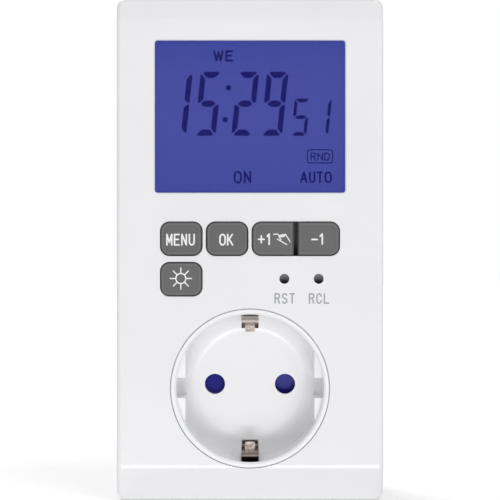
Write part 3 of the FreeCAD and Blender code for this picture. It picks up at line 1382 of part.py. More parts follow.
def relay_armature():
    """Iron plate over the coil, hinged on the front edge of the yoke."""
    half = ARMATURE_WIDTH / 2
    y1 = ARMATURE_BACK_Y
    left = COIL_CENTRE_X - COIL_R
    return box(left, BLADE_X, y1 - ARMATURE_T, y1, RELAY_Z - half, RELAY_Z + half)


def relay_moving_contact():
    """Spring blade on the armature with its contact rivet."""
    half = BLADE_WIDTH / 2
    y0 = ARMATURE_BACK_Y - ARMATURE_T
    blade = box(BLADE_X, BLADE_X + BLADE_T, y0, y0 + BLADE_LENGTH, RELAY_Z - half, RELAY_Z + half)
    rivet_y = y0 + BLADE_LENGTH - RELAY_CONTACT_R
    rivet_x = BLADE_X + BLADE_T + RELAY_CONTACT_T
    rivet = rod_x(RELAY_CONTACT_R, BLADE_X + BLADE_T / 2, rivet_x, rivet_y, RELAY_Z)
    return joined([blade, rivet])


def relay_fixed_contact():
    """Fixed blade with its contact rivet, standing on the relay's base."""
    half = BLADE_WIDTH / 2
    rivet_y = ARMATURE_BACK_Y - ARMATURE_T + BLADE_LENGTH - RELAY_CONTACT_R
    rivet_x = BLADE_X + BLADE_T + RELAY_CONTACT_T + RELAY_CONTACT_GAP
    blade_x = rivet_x + RELAY_CONTACT_T
    y0 = rivet_y - RELAY_CONTACT_R
    y1 = RELAY_BASE_Y - SEAT_GAP
    blade = box(blade_x, blade_x + BLADE_T, y0, y1, RELAY_Z - half, RELAY_Z + half)
    rivet = rod_x(RELAY_CONTACT_R, rivet_x, blade_x + BLADE_T / 2, rivet_y, RELAY_Z)
    return joined([blade, rivet])


# Conductors
def bar_end(z):
    """Last points of a conductor that steps down to the power board above z."""
    foot_y = POWER_FRONT_Y - SEAT_GAP - BAR_T / 2
    run_y = foot_y - BAR_LIFT
    return [(run_y, z), (foot_y, z + BAR_LIFT), (foot_y, z + BAR_LIFT + BAR_FOOT)]


def line_feed_bar():
    """Brass bar from the line pin's tail, through the carrier, to the power board."""
    y1 = PIN_TAIL_Y + PIN_TAIL_R
    eye_y = y1 - BAR_T / 2
    end = bar_end(POWER_BOARD_BOTTOM_Z)
    path = [(eye_y, 0), (eye_y, FEED_BAR_Z), (end[0][0], FEED_BAR_Z)] + end
    bar = bent_strip(path, BAR_BEND_R, BAR_T, -PIN_X, -PIN_X + BAR_WIDTH)
    eye = rod_y(PIN_R + STRAP_T, y1 - BAR_T, y1, -PIN_X)
    return joined([bar, eye]).cut(rod_y(PIN_TAIL_R + SEAT_GAP, y1 - BAR_T - OVER, y1 + OVER, -PIN_X))


def side_bar(side):
    """Brass bar from a contact's tag to the power board."""
    start_y = CONTACT_BASE_Y - CONTACT_T / 2 - SEAT_GAP
    end = bar_end(POWER_BOARD_BOTTOM_Z)
    path = [(start_y, 0), (end[0][0], 0)] + end
    x = side * SIDE_BAR_X
    return bent_strip(path, BAR_BEND_R, BAR_T, x - BAR_WIDTH / 2, x + BAR_WIDTH / 2)


# Screws
def housing_screws():
    """Four screws from the rear shell into the front shell's bosses."""
    seat_y = CASE_SEAT_Y + SEAT_GAP
    return Part.Compound(
        [
            screw(CASE_HEAD_R, CASE_HEAD_T, CASE_SCREW_R, CASE_SCREW_LENGTH, x, z, seat_y, -1)
            for x, z in CASE_SCREWS
        ]
    )


def small_screws(places, seat_y, length, towards):
    """Equal small screws at the given places."""
    return Part.Compound(
        [
            screw(SMALL_HEAD_R, SMALL_HEAD_T, SMALL_SCREW_R, length, x, z, seat_y, towards)
            for x, z in places
        ]
    )


def all_nodes():
    """Every separate piece with its name."""
    nodes = {
        "front_housing": front_housing(),
        "rear_housing": rear_housing(),
        "socket_insert": socket_insert(),
        "display_window": display_window(),
        "lcd_panel": lcd_panel(),
        "lcd_frame": lcd_frame(),
        "light_guide": light_guide(),
        "backlight_leds": backlight_leds(),
        "zebra_strip": zebra_strip(),
        "key_mat": key_mat(),
        "control_board": control_board(),
        "display_driver": display_driver(),
        "clock_crystal": clock_crystal(),
        "backup_cell": backup_cell(),
        "ribbon_cable": ribbon_cable(),
        "power_board": power_board(),
        "x2_capacitor": x2_capacitor(),
        "smoothing_capacitor": smoothing_capacitor(),
        "rectifier_diodes": rectifier_diodes(),
        "resistors": resistors(),
        "varistor": varistor(),
        "relay_base": relay_base(),
        "relay_case": relay_case(),
        "relay_coil": relay_coil(),
        "relay_yoke": relay_yoke(),
        "relay_armature": relay_armature(),
        "relay_moving_contact": relay_moving_contact(),
        "relay_fixed_contact": relay_fixed_contact(),
        "shutter": shutter(),
        "shutter_spring": shutter_spring(),
        "contact_carrier": contact_carrier(),
        "line_contact": socket_contact(-1),
        "neutral_contact": socket_contact(1),
        "neutral_strap": neutral_strap(),
        "earth_strip_upper": earth_strip(1),
        "earth_strip_lower": earth_strip(-1),
        "earth_bridge": earth_bridge(),
        "line_pin": plug_pin(-1),
        "neutral_pin": plug_pin(1),
        "pin_retainer": pin_retainer(),
        "line_feed_bar": line_feed_bar(),
        "line_load_bar": side_bar(-1),
        "neutral_bar": side_bar(1),
        "housing_screws": housing_screws(),
        "control_board_screws": small_screws(
            CONTROL_POSTS, CONTROL_BACK_Y + SEAT_GAP, SMALL_SCREW_LENGTH, -1
        ),
        "power_board_screws": small_screws(POWER_POSTS, POWER_FRONT_Y - SEAT_GAP, POWER_SCREW_LENGTH, 1),
        "carrier_screws": small_screws(
            INSERT_BOSSES, CARRIER_SEAT_Y + SEAT_GAP, CARRIER_SCREW_LENGTH, -1
        ),
        "retainer_screws": small_screws(
            RETAINER_SCREWS, RETAINER_BACK_Y - RETAINER_T - SEAT_GAP, RETAINER_SCREW_LENGTH, 1
        ),
    }
    for name in KEYS:
        nodes[name] = key_cap(name)
    for name, x in RESET_KEYS.items():
        nodes[name] = reset_key(x)
    return nodes


os.makedirs("parts", exist_ok=True)
for node, shape in all_nodes().items():
    shape.exportStep("parts/" + node + ".step")
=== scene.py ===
import math

import bmesh
import bpy
from mathutils import Matrix, Vector


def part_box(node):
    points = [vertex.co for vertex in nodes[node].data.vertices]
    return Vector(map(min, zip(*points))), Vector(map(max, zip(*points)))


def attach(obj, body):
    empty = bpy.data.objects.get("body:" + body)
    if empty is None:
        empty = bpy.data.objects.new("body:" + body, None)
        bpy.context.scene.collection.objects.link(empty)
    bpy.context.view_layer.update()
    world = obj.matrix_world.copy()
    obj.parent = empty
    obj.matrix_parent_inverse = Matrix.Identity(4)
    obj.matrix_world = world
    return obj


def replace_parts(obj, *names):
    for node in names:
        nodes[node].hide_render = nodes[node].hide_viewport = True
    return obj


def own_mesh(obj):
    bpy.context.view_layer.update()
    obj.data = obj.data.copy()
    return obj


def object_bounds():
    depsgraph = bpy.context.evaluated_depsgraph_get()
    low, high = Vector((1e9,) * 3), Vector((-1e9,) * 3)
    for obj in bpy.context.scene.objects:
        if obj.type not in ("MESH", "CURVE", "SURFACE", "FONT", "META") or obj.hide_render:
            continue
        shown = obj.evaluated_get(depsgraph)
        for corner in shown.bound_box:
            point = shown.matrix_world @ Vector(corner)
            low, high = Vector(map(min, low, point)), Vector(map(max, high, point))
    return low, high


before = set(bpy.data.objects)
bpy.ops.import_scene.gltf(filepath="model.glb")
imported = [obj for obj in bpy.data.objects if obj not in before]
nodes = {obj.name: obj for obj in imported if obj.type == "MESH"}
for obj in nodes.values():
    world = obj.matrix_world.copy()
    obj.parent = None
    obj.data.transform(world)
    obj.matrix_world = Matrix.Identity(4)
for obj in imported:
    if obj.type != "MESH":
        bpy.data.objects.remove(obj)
cad_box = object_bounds()
MM = 0.001


# Node tree helpers
def greatest(tree, values):
    """The greatest of several values."""
    found = values[0]
    for value in values[1:]:
        made = tree.nodes.new("ShaderNodeMath")
        made.operation = "MAXIMUM"
        tree.links.new(found, made.inputs[0])
        tree.links.new(value, made.inputs[1])
        found = made.outputs["Value"]
    return found


def mixed(tree, factor, first, second):
    """The first shader where the factor is 0, the second where it is 1."""
    made = tree.nodes.new("ShaderNodeMixShader")
    tree.links.new(factor, made.inputs["Fac"])
    tree.links.new(first, made.inputs[1])
    tree.links.new(second, made.inputs[2])
    return made.outputs["Shader"]


def looked_at(tree):
    """1 for what is seen straight, mirrored or through glass, and 0 for what only lights the object."""
    path = tree.nodes.new("ShaderNodeLightPath")
    rays = ("Is Camera Ray", "Is Glossy Ray", "Is Transmission Ray")
    return greatest(tree, [path.outputs[ray] for ray in rays])


# Material helpers
# Noise scales in cycles for a metre: patches of colour and of gloss on moulded plastic
COLOR_PATCHES = 45.0
GLOSS_PATCHES = 250.0
# Most values of a noise lie between these.
NOISE_LOW = 0.3
NOISE_HIGH = 0.7
# The least and greatest roughness of moulded plastic, by share of its own
GLOSSIEST = 0.92
DULLEST = 1.1
# How far the roughness of fine lines on metal lies below and above the metal's own
LINES_BELOW = 0.08
LINES_ABOVE = 0.12
GRAIN_STRENGTH = 0.35
LINE_STRENGTH = 0.25
LINE_DEPTH = 0.006
TINNED = (0.6, 0.6, 0.58)


def shades(color, below, above):
    """A darker and a lighter shade of a colour, by share."""
    low = tuple(c * (1 - below) for c in color)
    high = tuple(min(c * (1 + above), 1.0) for c in color)
    return low, high


class Shader:
    """A Principled material with its node tree at hand."""

    def __init__(self, name, color, rough, metallic=0.0, ior=1.45):
        self.mat = bpy.data.materials.new(name)
        self.mat.use_nodes = True
        self.tree = self.mat.node_tree
        self.bsdf = self.tree.nodes["Principled BSDF"]
        self.out = self.tree.nodes["Material Output"]
        self.set("Base Color", (*color, 1.0))
        self.set("Roughness", rough)
        self.set("Metallic", metallic)
        self.set("IOR", ior)
        self.coords = self.node("ShaderNodeTexCoord").outputs["Object"]

    def node(self, kind, **values):
        made = self.tree.nodes.new(kind)
        for key, value in values.items():
            setattr(made, key, value)
        return made

    def link(self, a, b):
        self.tree.links.new(a, b)

    def set(self, name, value):
        self.bsdf.inputs[name].default_value = value

    def feed(self, name, socket):
        """An input of the Principled shader that varies over the surface."""
        self.link(socket, self.bsdf.inputs[name])

    def stretched(self, scale):
        """Object coordinates scaled per axis."""
        mapping = self.node("ShaderNodeMapping")
        mapping.inputs["Scale"].default_value = scale
        self.link(self.coords, mapping.inputs["Vector"])
        return mapping.outputs["Vector"]

    def noise(self, scale, detail, rough=0.5, vector=None):
        made = self.node("ShaderNodeTexNoise")
        made.inputs["Scale"].default_value = scale
        made.inputs["Detail"].default_value = detail
        made.inputs["Roughness"].default_value = rough
        self.link(vector or self.coords, made.inputs["Vector"])
        return made.outputs["Fac"]

    def ramp(self, factor, stops):
        made = self.node("ShaderNodeValToRGB")
        ramp = made.color_ramp
        ramp.elements[0].position, ramp.elements[0].color = stops[0][0], (*stops[0][1], 1.0)
        ramp.elements[1].position, ramp.elements[1].color = stops[-1][0], (*stops[-1][1], 1.0)
        for place, color in stops[1:-1]:
            ramp.elements.new(place).color = (*color, 1.0)
        self.link(factor, made.inputs["Fac"])
        return made.outputs["Color"]

    def mix(self, factor, first, second):
        """The first colour where the factor is 0, the second where it is 1. Either may be another node's."""
        made = self.node("ShaderNodeMix", data_type="RGBA")
        self.link(factor, made.inputs["Factor"])
        for name, source in (("A", first), ("B", second)):
            if isinstance(source, bpy.types.NodeSocket):
                self.link(source, made.inputs[name])
            else:
                made.inputs[name].default_value = (*source, 1.0)
        return made.outputs["Result"]

    def mottle(self, color, spread, scale):
        """Slight unevenness of the base colour."""
        low, high = shades(color, spread, spread)
        patches = self.noise(scale, detail=3.0)
        self.feed("Base Color", self.ramp(patches, [(NOISE_LOW, low), (NOISE_HIGH, high)]))

    def rough_range(self, low, high, scale, vector=None):
        span = self.node("ShaderNodeMapRange")
        span.inputs["To Min"].default_value = low
        span.inputs["To Max"].default_value = high
        self.link(self.noise(scale, detail=2.0, vector=vector), span.inputs["Value"])
        self.feed("Roughness", span.outputs["Result"])

    def place(self, axis):
        """The place along an axis, in metres."""
        parts = self.node("ShaderNodeSeparateXYZ")
        self.link(self.coords, parts.inputs["Vector"])
        return parts.outputs[axis]

    def share(self, axis, low, high):
        """0 to 1 between two places along an axis, in metres."""
        span = self.node("ShaderNodeMapRange")
        span.inputs["From Min"].default_value = low
        span.inputs["From Max"].default_value = high
        self.link(self.place(axis), span.inputs["Value"])
        return span.outputs["Result"]

    def rising(self, node_name, stops):
        """Colour that changes from the bottom of a node to its top."""
        low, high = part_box(node_name)
        return self.ramp(self.share("Z", low.z, high.z), stops)

    def within(self, axis, low_mm, high_mm):
        """1 where the place along an axis lies in a span, else 0."""
        found = self.node("ShaderNodeMath", operation="COMPARE")
        found.inputs[1].default_value = (low_mm + high_mm) / 2 * MM
        found.inputs[2].default_value = (high_mm - low_mm) / 2 * MM
        self.link(self.place(axis), found.inputs[0])
        return found.outputs["Value"]

    def over(self, mask, color):
        """Another colour on top of the varied base colour where the mask is 1."""
        under = self.bsdf.inputs["Base Color"].links[0].from_socket
        self.feed("Base Color", self.mix(mask, under, color))

    def tinned(self, mask):
        """Bare tinned wire where the mask is 1."""
        self.over(mask, TINNED)
        self.feed("Metallic", mask)

    def bump(self, height, strength, depth_mm):
        made = self.node("ShaderNodeBump")
        made.inputs["Strength"].default_value = strength
        made.inputs["Distance"].default_value = depth_mm * MM
        self.link(height, made.inputs["Height"])
        self.feed("Normal", made.outputs["Normal"])


def moulded(name, color, rough, grain_mm=0.25, depth_mm=0.004, spread=0.015, ior=1.45):
    """Moulded plastic with a fine spark-eroded grain."""
    m = Shader(name, color, rough, ior=ior)
    m.mottle(color, spread, COLOR_PATCHES)
    m.rough_range(rough * GLOSSIEST, rough * DULLEST, GLOSS_PATCHES)
    m.bump(m.noise(1 / (grain_mm * MM), detail=2.0), GRAIN_STRENGTH, depth_mm)
    return m


def brushed(name, color, rough, along=(1.0, 1.0, 0.04), spread=0.12, line_mm=0.12):
    """Rolled or plated sheet metal with fine lines along its strip."""
    m = Shader(name, color, rough, metallic=1.0)
    lines = m.stretched(along)
    grain = m.noise(1 / (line_mm * MM), detail=3.0, rough=0.6, vector=lines)
    low, high = shades(color, below=spread, above=spread * 0.6)
    m.feed("Base Color", m.ramp(grain, [(NOISE_LOW, low), (NOISE_HIGH, high)]))
    m.rough_range(rough - LINES_BELOW, rough + LINES_ABOVE, 1 / (line_mm * MM), lines)
    m.bump(grain, LINE_STRENGTH, LINE_DEPTH)
    return m


# Mesh helpers
def box_mm(node):
    """Lowest and highest corners of a node, in millimetres."""
    return [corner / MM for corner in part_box(node)]


def middle_of(low, high):
    """Middle of a box in X and Z."""
    return (low[0] + high[0]) / 2, (low[2] + high[2]) / 2


def piece(name, bm, shader, body, smooth=False):
    """The mesh in bm as an object that rides on a body."""
    mesh = bpy.data.meshes.new(name)
    bm.to_mesh(mesh)
    bm.free()
    mesh.materials.append(shader.mat)
    if smooth:
        mesh.shade_smooth()
    obj = bpy.data.objects.new(name, mesh)
    bpy.context.scene.collection.objects.link(obj)
    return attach(obj, body)


def finished(name, bm, shader, body, smooth=False):
    """The mesh in bm, its faces turned outwards, as a piece with a material."""
    bmesh.ops.recalc_face_normals(bm, faces=bm.faces)
    return piece(name, bm, shader, body, smooth)


def points_across(bm, centre, y, places):
    """Mesh points in a plane across Y, at places round a centre, in millimetres."""
    return [bm.verts.new(((centre[0] + x) * MM, y * MM, (centre[1] + z) * MM)) for x, z in places]


def circle(bm, centre, y, radii):
    """Mesh points round a centre in a plane across Y, one for each radius."""
    places = []
    for i, r in enumerate(radii):
        a = 2 * math.pi * i / len(radii)
        places.append((r * math.cos(a), r * math.sin(a)))
    return points_across(bm, centre, y, places)


def skin(bm, rings, flipped=False):
    """Faces between rings of points that follow each other."""
    for near, far in zip(rings, rings[1:]):
        for i in range(len(near)):
            j = (i + 1) % len(near)
            face = (near[i], near[j], far[j], far[i])
            bm.faces.new(face[::-1] if flipped else face)


def closed_skin(bm, rings):
    """Skin between rings, with a face over each end."""
    skin(bm, rings)
    bm.faces.new(rings[0][::-1])
    bm.faces.new(rings[-1])


def turned(bm, centre, profile, sides):
    """Closed form turned about a line along Y, from places along it and radii in millimetres."""
    closed_skin(bm, [circle(bm, centre, y, [r] * sides) for y, r in profile])


def slab(bm, outline, y0, y1):
    """Flat plate across Y with an outline of X and Z in millimetres, added to bm."""
    area = sum(a[0] * b[1] - b[0] * a[1] for a, b in zip(outline, outline[1:] + outline[:1]))
    ring = list(outline) if area > 0 else list(outline)[::-1]
    near = points_across(bm, (0, 0), y0, ring)
    far = points_across(bm, (0, 0), y1, ring)
    bm.faces.new(near)
    bm.faces.new(far[::-1])
    for i in range(len(ring)):
        j = (i + 1) % len(ring)
        bm.faces.new((near[j], near[i], far[i], far[j]))


def slabs(name, outlines, y0, y1, shader, body):
    """One piece made of flat plates."""
    bm = bmesh.new()
    for outline in outlines:
        slab(bm, outline, y0, y1)
    return piece(name, bm, shader, body)


def arc(cx, cz, rx, rz, start, end, steps=12):
    """Points along an ellipse arc."""
    found = []
    for i in range(steps + 1):
        a = math.radians(start + (end - start) * i / steps)
        found.append((cx + rx * math.cos(a), cz + rz * math.sin(a)))
    return found


def rounded_box(x0, x1, z0, z1, radius):
    """Outline of a box with rounded corners."""
    left, right = x0 + radius, x1 - radius
    low, high = z0 + radius, z1 - radius
    outline = []
    for quarter, (cx, cz) in enumerate(((right, high), (left, high), (left, low), (right, low))):
        outline += arc(cx, cz, radius, radius, 90 * quarter, 90 * quarter + 90, 6)
    return outline


# Printed lines
PRINT_THICK = 0.06
# Crossing runs of one print lie this much above each other, in millimetres, up to so many layers.
LAYER = 0.0015
LAYERS = 12
CAP_STEPS = 8
MITRE_LIMIT = 0.5
# A turn in radians that ends a run, and the most points of a closed line that has such turns
SHARP_TURN = 0.6
CORNERED_POINTS = 8
# Points nearer than this are one: along a line in millimetres, and in a mesh in metres
SAME_POINT = 1e-6
WELD = 1e-8


def half_disc(bm, centre, towards, radius, y0, y1):
    """Round end of a printed line."""
    base = math.atan2(towards[1], towards[0])
    angles = [base - math.pi / 2 + math.pi * i / CAP_STEPS for i in range(CAP_STEPS + 1)]
    outline = [(centre[0] + radius * math.cos(a), centre[1] + radius * math.sin(a)) for a in angles]
    slab(bm, outline, y0, y1)


def printed_line(bm, line, width, y0, y1):
    """Printed line of even width along points that turn gently, with round ends where it is open."""
    half = width / 2
    closed = line[0] == line[-1]
    points = [Vector(p) for p in (line[:-1] if closed else line)]
    count = len(points)
    left = []
    right = []
    for i, point in enumerate(points):
        before = points[i - 1] if closed or i > 0 else None
        after = points[(i + 1) % count] if closed or i < count - 1 else None
        ends = ((before, point), (point, after))
        runs = [(b - a).normalized() for a, b in ends if a is not None and b is not None]
        along = sum(runs, Vector((0, 0))).normalized()
        side = Vector((-along.y, along.x)) * (half / max(along.dot(runs[0]), MITRE_LIMIT))
        left.append(point + side)
        right.append(point - side)
    for i in range(count if closed else count - 1):
        k = (i + 1) % count
        corners = [tuple(left[i]), tuple(right[i]), tuple(right[k]), tuple(left[k])]
        slab(bm, corners, y0, y1)
    if not closed:
        half_disc(bm, points[0], points[0] - points[1], half, y0, y1)
        half_disc(bm, points[-1], points[-1] - points[-2], half, y0, y1)


def gentle_runs(line):
    """Parts of a line between its sharp corners. A round outline stays whole."""
    if line[0] == line[-1] and len(line) > CORNERED_POINTS:
        return [line]
    runs = [[line[0]]]
    for i in range(1, len(line) - 1):
        a = Vector(line[i]) - Vector(line[i - 1])
        b = Vector(line[i + 1]) - Vector(line[i])
        runs[-1].append(line[i])
        if a.angle(b) > SHARP_TURN:
            runs.append([line[i]])
    runs[-1].append(line[-1])
    return runs


def strokes(name, lines, width, y, shader, body, thick=PRINT_THICK):
    """Printed lines, each a thin raised ribbon along a path of X and Z in millimetres."""
    bm = bmesh.new()
    level = 0
    for line in lines:
        line = [p for i, p in enumerate(line) if i == 0 or math.dist(p, line[i - 1]) > SAME_POINT]
        for run in gentle_runs(line):
            printed_line(bm, run, width, y - thick / 2 - LAYER * level, y + thick / 2)
            level = (level + 1) % LAYERS
    bmesh.ops.remove_doubles(bm, verts=bm.verts, dist=WELD)
    return piece(name, bm, shader, body)


# Lettering, each letter in a box from 0 to 1
GLYPHS = {
    "A": [[(0, 0), (0.5, 1), (1, 0)], [(0.2, 0.33), (0.8, 0.33)]],
    "C": [arc(0.5, 0.68, 0.5, 0.32, 10, 180) + arc(0.5, 0.32, 0.5, 0.32, 180, 350)],
    "D": [
        [(0, 0), (0, 1), (0.45, 1)]
        + arc(0.45, 0.65, 0.55, 0.35, 90, 0)
        + arc(0.45, 0.35, 0.55, 0.35, 0, -90)
        + [(0, 0)]
    ],
    "E": [[(1, 1), (0, 1), (0, 0), (1, 0)], [(0, 0.53), (0.85, 0.53)]],
    "K": [[(0, 0), (0, 1)], [(0.95, 1), (0, 0.38)], [(0.3, 0.57), (1, 0)]],
    "L": [[(0, 1), (0, 0), (1, 0)]],
    "M": [[(0, 0), (0, 1), (0.5, 0.25), (1, 1), (1, 0)]],
    "N": [[(0, 0), (0, 1), (1, 0), (1, 1)]],
    "O": [arc(0.5, 0.66, 0.5, 0.34, 0, 180) + arc(0.5, 0.34, 0.5, 0.34, 180, 360) + [(1, 0.66)]],
    "R": [
        [(0, 0), (0, 1), (0.6, 1)] + arc(0.6, 0.76, 0.4, 0.24, 90, -90) + [(0, 0.52)],
        [(0.55, 0.52), (1, 0)],
    ],
    "S": [
        arc(0.5, 0.76, 0.48, 0.24, 20, 200)
        + [(0.15, 0.58), (0.85, 0.45)]
        + arc(0.5, 0.25, 0.48, 0.25, 20, -160)
    ],
    "T": [[(0, 1), (1, 1)], [(0.5, 1), (0.5, 0)]],
    "U": [[(0, 1), (0, 0.32)] + arc(0.5, 0.32, 0.5, 0.32, 180, 360) + [(1, 1)]],
    "W": [[(0, 1), (0.25, 0), (0.5, 0.9), (0.75, 0), (1, 1)]],
    "1": [[(0, 0.78), (0.7, 1), (0.7, 0)]],
    "+": [[(0, 0.5), (1, 0.5)], [(0.5, 0), (0.5, 1)]],
    "-": [[(0, 0.5), (1, 0.5)]],
}


def lettered(text, boxes, width):
    """Lines of each letter fitted into its own box of X and Z, drawn in by half the stroke."""
    half = width / 2
    lines = []
    for letter, (x0, x1, z0, z1) in zip(text, boxes):
        across = x1 - x0 - width
        up = z1 - z0 - width
        for path in GLYPHS[letter]:
            lines.append([(x0 + half + across * u, z0 + half + up * v) for u, v in path])
    return lines


def spread_boxes(x0, x1, z0, z1, shares, gap):
    """Boxes side by side that fill a span, with widths by share."""
    room = x1 - x0 - gap * (len(shares) - 1)
    boxes = []
    at = x0
    for share in shares:
        w = room * share / sum(shares)
        boxes.append((at, at + w, z0, z1))
        at += w + gap
    return boxes


# Camera, which looks straight at the front, level, from half a metre
EYE = Vector((0.0, -0.561, 0.0363))
LENS_MM = 138.5
SENSOR_MM = 36.0
camera_data = bpy.data.cameras.new("camera")
camera_data.lens = LENS_MM
camera_data.sensor_width = SENSOR_MM
camera = bpy.data.objects.new("camera", camera_data)
camera.location = EYE
camera.rotation_euler = (math.radians(90), 0, 0)
bpy.context.scene.collection.objects.link(camera)
bpy.context.scene.camera = camera

# Plastics of the casing and keys
KEY_NAMES = ["key_menu", "key_ok", "key_plus", "key_minus", "key_light"]
RESET_NAMES = ["reset_key", "recall_key"]
KEY_GREY = (0.114, 0.11, 0.111)
EDGE_HIGHLIGHT_GREY = (0.135, 0.131, 0.132)
SIDE_SHADE_GREY = (0.012, 0.012, 0.012)
key_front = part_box("key_menu")[0].y / MM
# A key's dished top is grey, a painted highlight makes the ring round it lighter, and painted shade makes its
# sides dark from this far behind the ring.
EDGE_HALF = 0.02
SIDE_FROM = 0.24
SIDE_TO = 12.0
# The two halves of the rocker stay grey, without the painted highlight and shade, where they face each other,
# this far from its middle in X.
ROCKER_REACH = 1.0
rocker_x = (box_mm("key_plus")[1].x + box_mm("key_minus")[0].x) / 2
# Painted shade makes a reset key dark low in its hole, and painted light makes it lighter towards the top, by
# share of its height.
RESET_SHADE_STOPS = [
    (0.2, (0.002, 0.002, 0.002)),
    (0.32, (0.006, 0.006, 0.006)),
    (0.42, (0.07, 0.07, 0.07)),
    (0.55, (0.18, 0.18, 0.18)),
    (0.8, (0.24, 0.24, 0.24)),
]

shell = moulded("white_shell", (0.85, 0.85, 0.865), 0.2, grain_mm=0.3, depth_mm=0.002)
insert = moulded("white_insert", (0.9, 0.9, 0.915), 0.26, grain_mm=0.5, depth_mm=0.001, spread=0.006)
key_plastic = moulded("grey_key", KEY_GREY, 0.42, grain_mm=0.22, depth_mm=0.004, spread=0.03, ior=1.4)
# Painted highlight on the ring round each key's top.
key_plastic.over(key_plastic.within("Y", key_front - EDGE_HALF, key_front + EDGE_HALF), EDGE_HIGHLIGHT_GREY)
# Painted shade on each key's sides.
key_plastic.over(key_plastic.within("Y", key_front + SIDE_FROM, key_front + SIDE_TO), SIDE_SHADE_GREY)
key_plastic.over(key_plastic.within("X", rocker_x - ROCKER_REACH, rocker_x + ROCKER_REACH), KEY_GREY)
shaded_reset_plastic = moulded(
    "reset_key", (0.075, 0.074, 0.075), 0.3, grain_mm=0.22, depth_mm=0.004, spread=0.03, ior=1.25
)
# Painted shade low on each reset key and painted light towards its top, in place of its own grey.
shaded_reset_plastic.feed("Base Color", shaded_reset_plastic.rising("reset_key", RESET_SHADE_STOPS))
shutter_blue = moulded(
    "blue_shutter", (0.024, 0.023, 0.26), 0.34, grain_mm=0.3, depth_mm=0.003, spread=0.04, ior=1.22
)
carrier = moulded("grey_carrier", (0.34, 0.34, 0.35), 0.5)
black = moulded("black_plastic", (0.012, 0.012, 0.014), 0.45)
rubber = moulded("grey_rubber", (0.26, 0.26, 0.27), 0.75, grain_mm=0.15, depth_mm=0.006, spread=0.04)
ribbon = moulded("grey_ribbon", (0.42, 0.42, 0.43), 0.5)
white_print = moulded("white_print", (0.86, 0.86, 0.86), 0.5, grain_mm=0.1, depth_mm=0.002)
grey_print = moulded("grey_print", (0.33, 0.33, 0.34), 0.5, grain_mm=0.1, depth_mm=0.002)

# Electronic parts, with places along the resistors and diodes from their middles, in millimetres
resistor_x = middle_of(*box_mm("resistors"))[0]
RESISTOR_HALF = 3.25
RESISTOR_BANDS = (
    (-2.6, (0.13, 0.04, 0.01)),
    (-1.1, (0.01, 0.01, 0.01)),
    (0.2, (0.5, 0.09, 0.01)),
    (2.3, (0.55, 0.38, 0.1)),
)
BAND_HALF = 0.28
diode_x = middle_of(*box_mm("rectifier_diodes"))[0]
DIODE_HALF = 2.6
DIODE_BAND = (1.4, 2.1)
WIRE_REACH = 8.0
# Other parts' wires are bare from this far before the power board to this far past their tips.
BARE_BEFORE = 0.3
BARE_PAST = 0.2
board_front, board_back = [corner.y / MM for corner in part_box("power_board")]
wire_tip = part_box("relay_base")[1].y / MM

relay_cover = moulded("relay_cover", (0.014, 0.015, 0.019), 0.35, grain_mm=0.5)
yellow = moulded("yellow_plastic", (0.7, 0.5, 0.06), 0.4)
coating = moulded("blue_coating", (0.013, 0.047, 0.32), 0.25, grain_mm=0.8, depth_mm=0.01)
dark_sleeve = moulded("dark_sleeve", (0.005, 0.006, 0.014), 0.2, grain_mm=0.8)
green_sleeve = moulded("green_sleeve", (0.022, 0.21, 0.047), 0.25, grain_mm=0.8)
bobbin = moulded("bobbin", (0.3, 0.12, 0.045), 0.4)
resistor_film = moulded("tan_film_banded", (0.52, 0.34, 0.16), 0.3)
for place, color in RESISTOR_BANDS:
    middle = resistor_x + place
    resistor_film.over(resistor_film.within("X", middle - BAND_HALF, middle + BAND_HALF), color)
diode_black = moulded("diode_black", (0.012, 0.012, 0.014), 0.35)
band = [diode_x + place for place in DIODE_BAND]
diode_black.over(diode_black.within("X", *band), (0.62, 0.62, 0.6))

# Wires and terminals are bare metal where they leave the bodies of their parts.
for shader in (yellow, coating, dark_sleeve):
    shader.tinned(shader.within("Y", board_front - BARE_BEFORE, wire_tip + BARE_PAST))
for shader, middle, half in ((resistor_film, resistor_x, RESISTOR_HALF), (diode_black, diode_x, DIODE_HALF)):
    left_end = shader.within("X", middle - WIRE_REACH, middle - half)
    right_end = shader.within("X", middle + half, middle + WIRE_REACH)
    shader.tinned(greatest(shader.tree, [left_end, right_end]))

TRACE_SCALE = 330.0
green_board = moulded("green_board", (0.012, 0.085, 0.022), 0.3, grain_mm=0.6, depth_mm=0.01)
traces = green_board.node("ShaderNodeTexVoronoi", feature="DISTANCE_TO_EDGE")
traces.inputs["Scale"].default_value = TRACE_SCALE
green_board.link(green_board.coords, traces.inputs["Vector"])
trace_stops = [(0.05, (0.03, 0.16, 0.04)), (0.09, (0.011, 0.08, 0.021))]
green_board.feed("Base Color", green_board.ramp(traces.outputs["Distance"], trace_stops))
brown_board = moulded("brown_board", (0.27, 0.15, 0.045), 0.5, grain_mm=0.4, depth_mm=0.01, spread=0.08)

# Metals
EVEN = (1.0, 1.0, 1.0)
steel = brushed("bright_steel", (0.55, 0.55, 0.54), 0.32, along=EVEN, spread=0.06, line_mm=0.2)
brass = brushed("contact_brass", (0.62, 0.42, 0.14), 0.3)
winding = brushed("copper_winding", (0.6, 0.24, 0.08), 0.25, along=EVEN, spread=0.12, line_mm=0.3)
solder = brushed("solder", (0.62, 0.62, 0.6), 0.22, along=EVEN, spread=0.05, line_mm=0.5)
pin_metal = brushed(
    "plated_pin", (0.64, 0.63, 0.61), 0.22, along=(1.0, 0.05, 1.0), spread=0.06, line_mm=0.1
)

# The bend at the front of an earth strip ends between these distances behind its front.
BEND_FROM = 0.1
BEND_TO = 1.5
